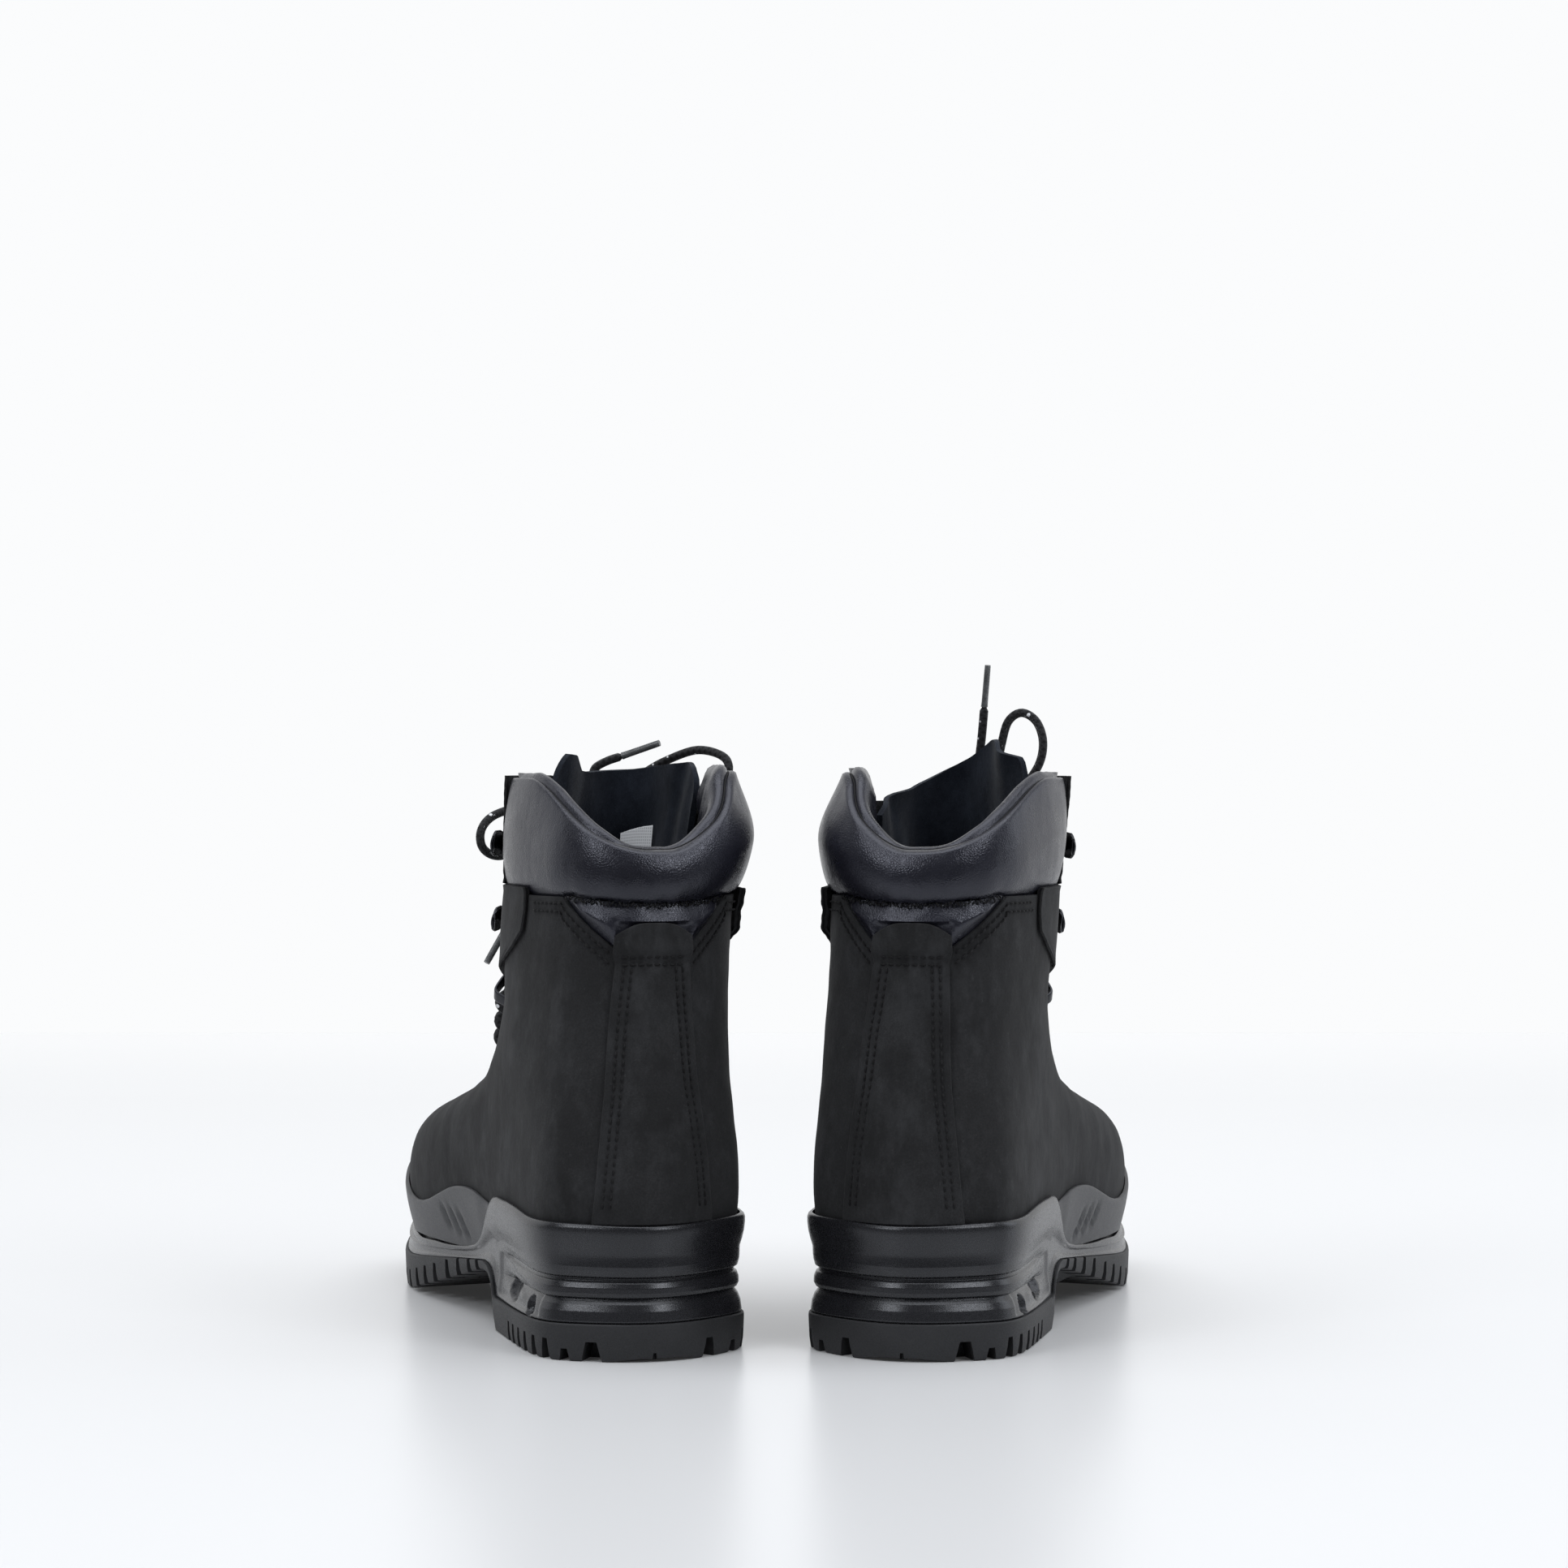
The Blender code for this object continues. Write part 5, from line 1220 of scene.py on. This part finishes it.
def make_facing(side, S, sgn, row):
    """Doubled leather edge that carries the hooks and rings, wide below the collar's seam."""
    t = np.linspace(0, 1, 41)
    first_z = float(throat_z(S, np.array(throat_edges(S)[sgn])))
    heights = np.concatenate([np.linspace(first_z + 0.5, 136, 26), np.linspace(137, 173.4, 34),
                              np.linspace(174.2, 216.0 if sgn > 0 else 206.0, 20)])
    rows_u, rows_v, rear = [], [], []
    for z in heights:
        e = float(edge_s(z)) + 0.3
        far = np.interp(z, REAR_Z, REAR_EDGE[sgn])
        u, v = S.place(sgn * (e + (far - e) * t), np.full(len(t), z))
        rows_u.append(u)
        rows_v.append(v)
        rear.append((far - e) * (1 - t))
    U, V, rear = np.array(rows_u), np.array(rows_v), np.array(rear)
    P = S.at(U, V)
    tall = P[..., 2]
    h = FACING_TOP + wobble(P, 15, 0.3, 8) - 0.45 * smooth((tall - 140) / 8) * smooth((174 - tall) / 3)
    h = h - 0.3 * ridge_at(rear, 2.9, 1.1)
    if sgn > 0:
        h = h - 0.4 * smooth((tall - 174) / 3) + 0.5 * smooth((3.5 - rear) / 3.5) * smooth((tall - 176) / 4)
    else:
        ragged = 0.85 + 0.15 * np.sin(tall / 1.9) + 0.08 * np.sin(tall / 0.8)
        h = h + 2.2 * ragged * smooth((9 - rear) / 9) * smooth((tall - 150) / 8) * smooth((176 - tall) / 2)
    low = np.interp(tall, (168, 174), (0.3, -1.2))
    low = np.maximum(low, h - 2.4)
    piece("%s_facing_%s_leather" % (side, row), skin(S, U, V, h, low), side, "nubuck",
          replaces=["%s_facing_%s" % (side, row)], bevel=0.35)
    k = len(heights) - 20
    lip = S.off(U[k:, -1], V[k:, -1], h[k:, -1] - 0.5)
    lip = smooth_path(lip, 1.0)
    size = 0.7 + 0.05 * np.sin(np.arange(len(lip)) * 1.7) + 0.1 * np.sin(np.arange(len(lip)) * 0.41)
    parts = [tube(lip, size, 8)]
    low_lip = S.off(U[30:k, -1], V[30:k, -1], h[30:k, -1] - 0.7)
    low_lip = smooth_path(low_lip, 1.2)
    parts.append(tube(low_lip, 0.6 + 0.06 * np.sin(np.arange(len(low_lip)) * 1.3), 6))
    piece("%s_raw_edge_%s" % (side, row), joined(parts), side, "edge")


def local_frame(S, sgn, z, ds):
    """Frame at the hardware line: point, to the throat, outward, up the facing."""
    def at(more, height):
        return S.place(sgn * (float(edge_s(height)) + ds + more), float(height))

    u, v = at(0.0, z)
    here, n = S.at(u, v), S.normal(u, v)
    up = S.at(*at(0.0, z + 3.0)) - here
    up -= n * np.dot(up, n)
    up /= np.linalg.norm(up)
    throat = np.cross(up, n) * sgn
    if np.dot(throat, S.at(*at(-3.0, z)) - here) < 0:
        throat = -throat
    return here, throat, n, up


def dome(centre, axis, radius, height, sides=20, rings=6):
    """A rivet head: a low dome standing on a plane."""
    axis = axis / np.linalg.norm(axis)
    side_a = np.cross(axis, (0.31, 0.77, 0.55))
    side_a /= np.linalg.norm(side_a)
    side_b = np.cross(axis, side_a)
    a = circle(sides)
    out = []
    for t in [-0.35] + list(np.linspace(0, 0.97, rings)):
        r = radius * math.cos(max(t, 0) * math.pi / 2)
        z = height * math.sin(max(t, 0) * math.pi / 2) if t >= 0 else height * t
        out.append(centre + axis * z + r * (np.cos(a)[:, None] * side_a + np.sin(a)[:, None] * side_b))
    return loft(out)


def ribbon(profile, here, throat, out, up, widths, thick):
    """A bent metal strip: profile in the (throat, out) plane, widths along up, rounded corners."""
    path = smooth_path(np.array([(a, b, 0.0) for a, b in profile]), 0.5)[:, :2]
    run = np.linspace(0, 1, len(path))
    width = np.interp(run, np.linspace(0, 1, len(widths)), widths)
    tangent = np.gradient(path, axis=0)
    tangent /= np.linalg.norm(tangent, axis=1, keepdims=True)
    normal = np.stack([-tangent[:, 1], tangent[:, 0]], -1)
    a = circle(20)
    rings = []
    for p, n, w in zip(path, normal, width):
        across_it = np.sign(np.cos(a)) * np.abs(np.cos(a)) ** 0.35 * w / 2
        through = np.sign(np.sin(a)) * np.abs(np.sin(a)) ** 0.5 * thick / 2
        flat = p[None, :] + n[None, :] * through[:, None]
        rings.append(here + flat[:, :1] * throat + flat[:, 1:] * out + across_it[:, None] * up)
    return loft(rings)


# Bent metal strips: points (towards the throat, outward), and widths spread evenly along them.
CLOSED_HOOK = ((-6.5, 0.5), (0, 0.5), (4.0, 0.8), (5.6, 2.6), (5.7, 5.2), (4.2, 7.2), (1.0, 7.5),
               (-3.4, 7.3), (-5.2, 6.0), (-5.8, 3.6), (-6.2, 1.2))
CLOSED_WIDTHS = (8.0, 7.5, 6.0, 5.4, 5.4, 6.0, 6.4, 6.0, 5.6, 5.4, 5.0)
OPEN_HOOK = ((-6.5, 0.5), (0, 0.5), (3.6, 0.7), (5.3, 2.2), (5.6, 4.4), (5.0, 6.4), (3.2, 7.4), (0.5, 7.8),
             (-2.4, 7.9), (-4.8, 7.2))
OPEN_WIDTHS = (5.0, 8.2, 8.0, 5.6, 4.8, 5.4, 8.2, 10.4, 10.2, 6.5)
RING_CLIP = ((-7.5, 0.4), (-3.0, 0.4), (-1.2, 0.7), (0.9, 0.5), (2.2, 1.4), (1.8, 3.0), (0.2, 3.6),
             (-1.4, 2.9), (-3.0, 1.5), (-7.5, 1.4))
CLIP_WIDTHS = (5.2, 5.6, 5.0, 4.6, 4.4, 4.4, 4.4, 4.8, 5.6, 5.2)
HOOK_BACK, HOOK_LIFT = (0.0, 2.0, 5.5), (0.0, 0.2, 1.2)


def hook_parts(i, base, throat, out, up):
    """A riveted hook: the lowest is closed, the others are open and end in a round head."""
    if i == 0:
        parts = [ribbon(CLOSED_HOOK, base, throat, out, up, CLOSED_WIDTHS, 1.1)]
    else:
        parts = [ribbon(OPEN_HOOK, base, throat, out, up, OPEN_WIDTHS, 1.25),
                 dome(base + out * 7.5 - throat * 1.0, out, 4.7, 1.4)]
    return parts + [dome(base - throat * 2.6 + out * 0.9, out, 2.9, 1.3)]


def ring_path(pin, reach, up):
    """Centre line of a D-ring: its straight bar at the pin, and the bow beyond."""
    half = RING_BAR / 2
    path = [pin + up * h for h in np.linspace(-half + 0.9, half - 0.9, 9)]
    for a in np.linspace(-0.35, math.pi + 0.35, 33):
        far = max(RING_REACH - half + half * math.sin(a), 0.27)
        path.append(pin + reach * far + up * half * math.cos(a))
    return smooth_path(np.array(path + path[:1]), 0.7)[:-1]


def make_hardware(side, S, sgn, row):
    """Hooks, closed hook and ring clips of one facing, riveted on; and its three D-rings."""
    spots = {}
    parts = []
    for i, z in enumerate(HOOK_Z):
        here, throat, out, up = local_frame(S, sgn, z, HARD_S + HOOK_BACK[i])
        here = here + out * HOOK_LIFT[i]
        spots["hook%d" % i] = (here, throat, out, up)
        parts += hook_parts(i, here + out * FACING_TOP, throat, out, up)
    tilt = math.radians(RING_TILT)
    for i, z in enumerate(RING_Z):
        here, throat, out, up = local_frame(S, sgn, z, HARD_S + 3)
        base = here + out * FACING_TOP
        spots["ring%d" % i] = (here, throat, out, up)
        parts.append(ribbon(RING_CLIP, base, throat, out, up, CLIP_WIDTHS, 0.8))
        parts.append(dome(base - throat * 5.2 + out * 1.5, out, 2.0, 1.0, 16, 5))
        ring = ring_path(base + out * 1.9, throat * math.cos(tilt) + out * math.sin(tilt), up)
        node = "%s_%s_ring_%d" % (side, row, i + 1)
        piece(node + "_wire", tube(ring, RING_WIRE / 2, 12, closed=True), side,
              "bright_metal", body=node, replaces=[node])
    piece("%s_hardware_%s" % (side, row), joined(parts), side, "dark_metal", sharp=40)
    return spots


def make_tongue(side, S):
    t = np.linspace(0, 1, 64)
    g = np.linspace(-1, 1, 57)
    base_z = float(S.at(np.array(0.0), np.array(THROAT_V + 0.09))[2])
    tops = np.array(TONGUE_TOP[side])
    seed, phase = (10, 2.0) if side == "left" else (9, 0.4)
    outer, inner = [], []
    for f in t:
        z_mid = base_z + (222 - base_z) * f
        e = float(edge_s(min(z_mid, 215)))
        under = 3.0 + 7.0 * float(smooth(f * 4))
        wing = under + 20.5 * float(smooth((f - 0.35) / 0.5))
        s = np.where(g > 0, g * (e + under + 0.4 * (wing - under)), g * (e + wing))
        z_top = np.interp(s, tops[:, 0], tops[:, 1])
        z = base_z + (z_top - base_z) * f
        u, v = S.place(s, np.minimum(z, 236))
        if f == 0:
            v = np.maximum(v, THROAT_V + 0.06)
        high = float(smooth((z_mid - 150) / 50))
        tuck = smooth((np.abs(s) - (e - 6.0 - 8.0 * high)) / (6.5 + 13.5 * high))
        tip = smooth((np.abs(s) - (e + 6.0)) / 16.0)
        deep = -8.8 - 1.0 * f - np.where(g < 0, 4.5, 1.6) * tip
        h = -0.6 + (deep + 0.6) * tuck
        free = float(smooth((f - 0.8) / 0.2))
        P = S.at(u, v)
        ripple = wobble(P, 14, 0.8, seed) + free * 1.6 * np.sin(s / 7.0 + phase)
        h = h + ripple * (0.3 + 0.7 * free)
        thick = 2.6 + 1.9 * (1 - free) * (1 - tuck)
        outer.append(S.off(u, v, h))
        inner.append(S.off(u, v, h - thick))
    piece(side + "_tongue_suede", shell(np.array(outer), np.array(inner)), side, "suede",
          body=side + "_tongue", replaces=[side + "_tongue"], bevel=0.6)


def make_footbed(side, S):
    u = np.linspace(0, 1, 97)[:-1]
    floor = S.at(u, 0.0)[:, 2]
    rings = []
    section = ((8.6, 3.7), (7.2, 4.2), (6.9, 6.4), (7.6, 7.9), (9.6, 8.3), (13.0, 7.2), (19.0, 6.6),
               (28.0, 6.4))
    for inset, lift in section:
        rings.append(np.column_stack([plan_ring(S, u, 0.15, np.full(len(u), inset)), floor + lift]))
    piece(side + "_footbed_felt", loft(rings), side, "felt", replaces=[side + "_footbed"])


# ------------------------------------------------------------------ laces
def lace_piece(name, path, side, node, radius=LACE_D / 2, sides=14):
    """A length of lace along a path, with its length and girth as texture coordinates."""
    run = run_of(path)
    girth = np.arange(sides) / sides * math.pi * LACE_D
    uv = np.stack(np.broadcast_arrays(run[:, None] * MM, girth[None, :] * MM), -1).reshape(-1, 2)
    return piece(name, tube(path, radius, sides), side, "lace", replaces=[node], uv=uv)


# The lace's way past a hook and through a ring: towards the throat, up, outward.
ROUND_HOOK = ((10.0, 7.0, 3.3), (5.2, 6.3, 3.6), (1.2, 5.0, 3.6), (0.9, 0.0, 3.6), (1.2, -5.0, 3.6),
              (5.2, -6.3, 3.6), (10.0, -7.0, 3.3))
THROUGH_RING = ((13.0, 2.8, 5.6), (9.9, 1.6, 8.0), (7.3, 1.2, 9.3), (4.8, 0.7, 8.5), (3.6, 0.2, 6.3),
                (3.75, -0.3, 4.5), (4.9, -0.8, 2.95), (7.1, -1.2, 2.2), (12.0, -2.6, 2.3))


def make_laces(side, S, spots):
    """The tied lace in one run, down across the lowest rings and up again; then the knot and its cords."""
    def spot(s, z, h):
        u, v = S.place(s, z)
        return S.off(u, v, h)

    def past(row, kind, i):
        here, throat, out, up = spots[row]["%s%d" % (kind, i)]
        way = ROUND_HOOK if kind == "hook" else THROUGH_RING
        return [here + throat * a + up * b + out * (FACING_TOP + c) for a, b, c in way]

    def cross(z0, z1, from_sign, low):
        e = float(edge_s(0.5 * (z0 + z1)))
        shares = zip((0.5, 0.0, -0.5), (0.28, 0.5, 0.72), (2.6, 2.0, 2.6) if low else (5.2, 6.2, 5.2))
        return [spot(from_sign * e * g, z0 + (z1 - z0) * f, h) for g, f, h in shares]

    knot = spot(*KNOT)
    down = [spot(5.0, KNOT[1], KNOT[2]), spot(12.0, KNOT[1] - 4, 4.2), spot(21.0, 199.0, 3.4)]
    steps = (("outer", "hook", 2), ("inner", "hook", 1), ("outer", "hook", 0), ("inner", "ring", 2),
             ("outer", "ring", 1), ("inner", "ring", 0))
    z_of = {"hook": HOOK_Z, "ring": RING_Z}
    mirrored = {"outer": "inner", "inner": "outer"}
    up_side = [spot(-1.0, KNOT[1], KNOT[2]), spot(-10.0, KNOT[1] - 4, 4.2), spot(-21.0, 199.0, 3.4)]
    for line, low, flip in ((down, True, False), (up_side, False, True)):
        for k, (row, kind, i) in enumerate(steps):
            r = mirrored[row] if flip else row
            line += past(r, kind, i)
            if k + 1 < len(steps):
                nxt = steps[k + 1]
                line += cross(z_of[kind][i] - 4.0, z_of[nxt[1]][nxt[2]] + 4.5, 1 if r == "outer" else -1, low)
    bar = [spot(-5.5, RING_Z[0] - 4.4, 2.2), spot(5.5, RING_Z[0] - 4.4, 2.2)]
    route = smooth_path(np.array(down + bar + up_side[::-1]), 1.3)
    lace_piece(side + "_lace_run", route, side, side + "_lace")
    make_knot(side, knot)
    for name, points in CORDS[side].items():
        make_cord(side, name, points, knot)


def make_knot(side, knot):
    """The bow's knot: one length wound round the crossing, over a bight."""
    parts = []
    a = circle(26)
    for shift, tilt in ((-2.2, 0.35), (1.9, -0.25)):
        ring = np.stack([shift + tilt * 3 * np.sin(a), 3.1 * np.cos(a), 4.3 * np.sin(a)], -1) + knot
        parts.append(tube(ring, LACE_D / 2 * 0.95, 12, closed=True))
    bight = np.array([(-7.5, 0.5, -2.5), (-3, 1.6, 1.5), (2, 1.8, 2.0), (7.0, 0.5, -1.5)]) + knot
    parts.append(tube(smooth_path(bight, 1.2), LACE_D / 2, 12))
    uv_points, faces = joined(parts)
    uv = np.column_stack([uv_points[:, 0] * MM * 1.3, uv_points[:, 2] * MM * 1.3])
    piece(side + "_lace_knot", (uv_points, faces), side, "lace", uv=uv)


def make_cord(side, name, points, knot):
    """A bow loop or a free end, from the knot; an end runs on into its aglet."""
    points = [np.array(p, float) for p in points]
    start = knot + (points[0] - knot) * 0.35
    route = [start] + points
    node = "%s_lace_%s" % (side, name)
    if name.startswith("loop"):
        route.append(knot + (points[-1] - knot) * 0.35)
        path = smooth_path(np.array(route), 1.2)
        obj = lace_piece(node + "_cord", path, side, node)
        declare_cord(side, path)
        return
    path = smooth_path(np.array(route), 1.2)
    coarse = smooth_path(np.array(points), 3.6)
    tip = coarse[-1] + (coarse[-1] - coarse[-2]) / np.linalg.norm(coarse[-1] - coarse[-2]) * 0.4
    way = (coarse[-1] - coarse[-3]) / np.linalg.norm(coarse[-1] - coarse[-3])
    free = len(path)
    path = np.concatenate([path, [tip + way * d for d in np.arange(0.8, AGLET[0] - 0.6, 1.2)]])
    radius = np.where(np.arange(len(path)) < free - 1, LACE_D / 2, AGLET[1] / 2 - 0.35)
    obj = lace_piece(node + "_cord", path, side, node, radius=radius)
    shrink = [tip + way * d for d in np.linspace(0, AGLET[0], 16)]
    size = AGLET[1] / 2 * np.interp(np.arange(16), (0, 1, 3, 13, 15), (1.08, 1.03, 1.0, 0.97, 0.92))
    aglet = piece("%s_aglet_%s_tube" % (side, name[-1]), tube(shrink, size, 16, flat=0.86), side,
                  "aglet", replaces=["%s_aglet_%s" % (side, name[-1])])
    declare_cord(side, path)


def declare_cord(side, path):
    line = to_world(path, side)


# ------------------------------------------------------------------ seams
def seam_stitches(side, S):
    lines = []
    for sgn in (1, -1):
        for inset in (2.6, 5.6):
            far, turn = (60, 39) if sgn > 0 else (50, 35)
            s = np.concatenate([np.linspace(16.5, turn, 40), np.linspace(turn + 0.5, far, 50)])
            top = notch_at(sgn * s)
            slope = np.where(s < turn, 19.0 / (turn - 15), 0.0)
            z = top - inset * np.sqrt(1 + slope**2)
            lines.append(on_surface(S, sgn * s, z, 0.3))
        for inset in (3.4, 6.2):
            z = np.linspace(56, 145, 120)
            lines.append(on_surface(S, sgn * (stay_half(z) - inset), z, 1.55))
    for z in (145.6, 148.4):
        s = np.linspace(-11.5, 11.5, 30)
        lines.append(on_surface(S, s, z + 0 * s, 1.7))
    piece(side + "_stitching", stitches(lines), side, "thread")


def make_label(side, S):
    """Blank woven label sewn inside the left boot's rear lining."""
    s, f = np.meshgrid(np.linspace(-1.0, 18.5, 15), np.linspace(0, 1, 11))
    z = 183 + 12.7 * f - 0.12 * s
    u, v = S.place(s, z, back=True)
    depth = -14.0 - 1.2 * np.sin(s / 5.0)
    uv = np.stack([s * MM, z * MM], -1).reshape(-1, 2)
    piece(side + "_label", skin(S, u, v, depth, depth - 0.5), side, "label", uv=np.concatenate([uv, uv]),
          bevel=0.1)


def make_boot(side):
    S = LAST[side]
    spots = {}
    for sgn, row in ((1, "outer"), (-1, "inner")):
        make_facing(side, S, sgn, row)
        spots[row] = make_hardware(side, S, sgn, row)
    make_laces(side, S, spots)
    make_upper(side, S)
    make_lining(side, S)
    make_collar(side, S)
    make_achilles(side, S)
    make_backstay(side, S)
    make_midsole(side, S)
    make_rand(side, S)
    make_outsole(side)
    make_tongue(side, S)
    make_footbed(side, S)
    seam_stitches(side, S)
    hidden = {"insole_board": "board", "shank": "steel", "heel_counter": "stiffener", "toe_puff": "stiffener"}
    for node, mat in hidden.items():
        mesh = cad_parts["%s_%s" % (side, node)].data
        mesh.materials.clear()
        mesh.materials.append(MAT[mat])


make_camera()
make_stage()
for boot_side in ("left", "right"):
    make_boot(boot_side)
make_label("left", LAST["left"])
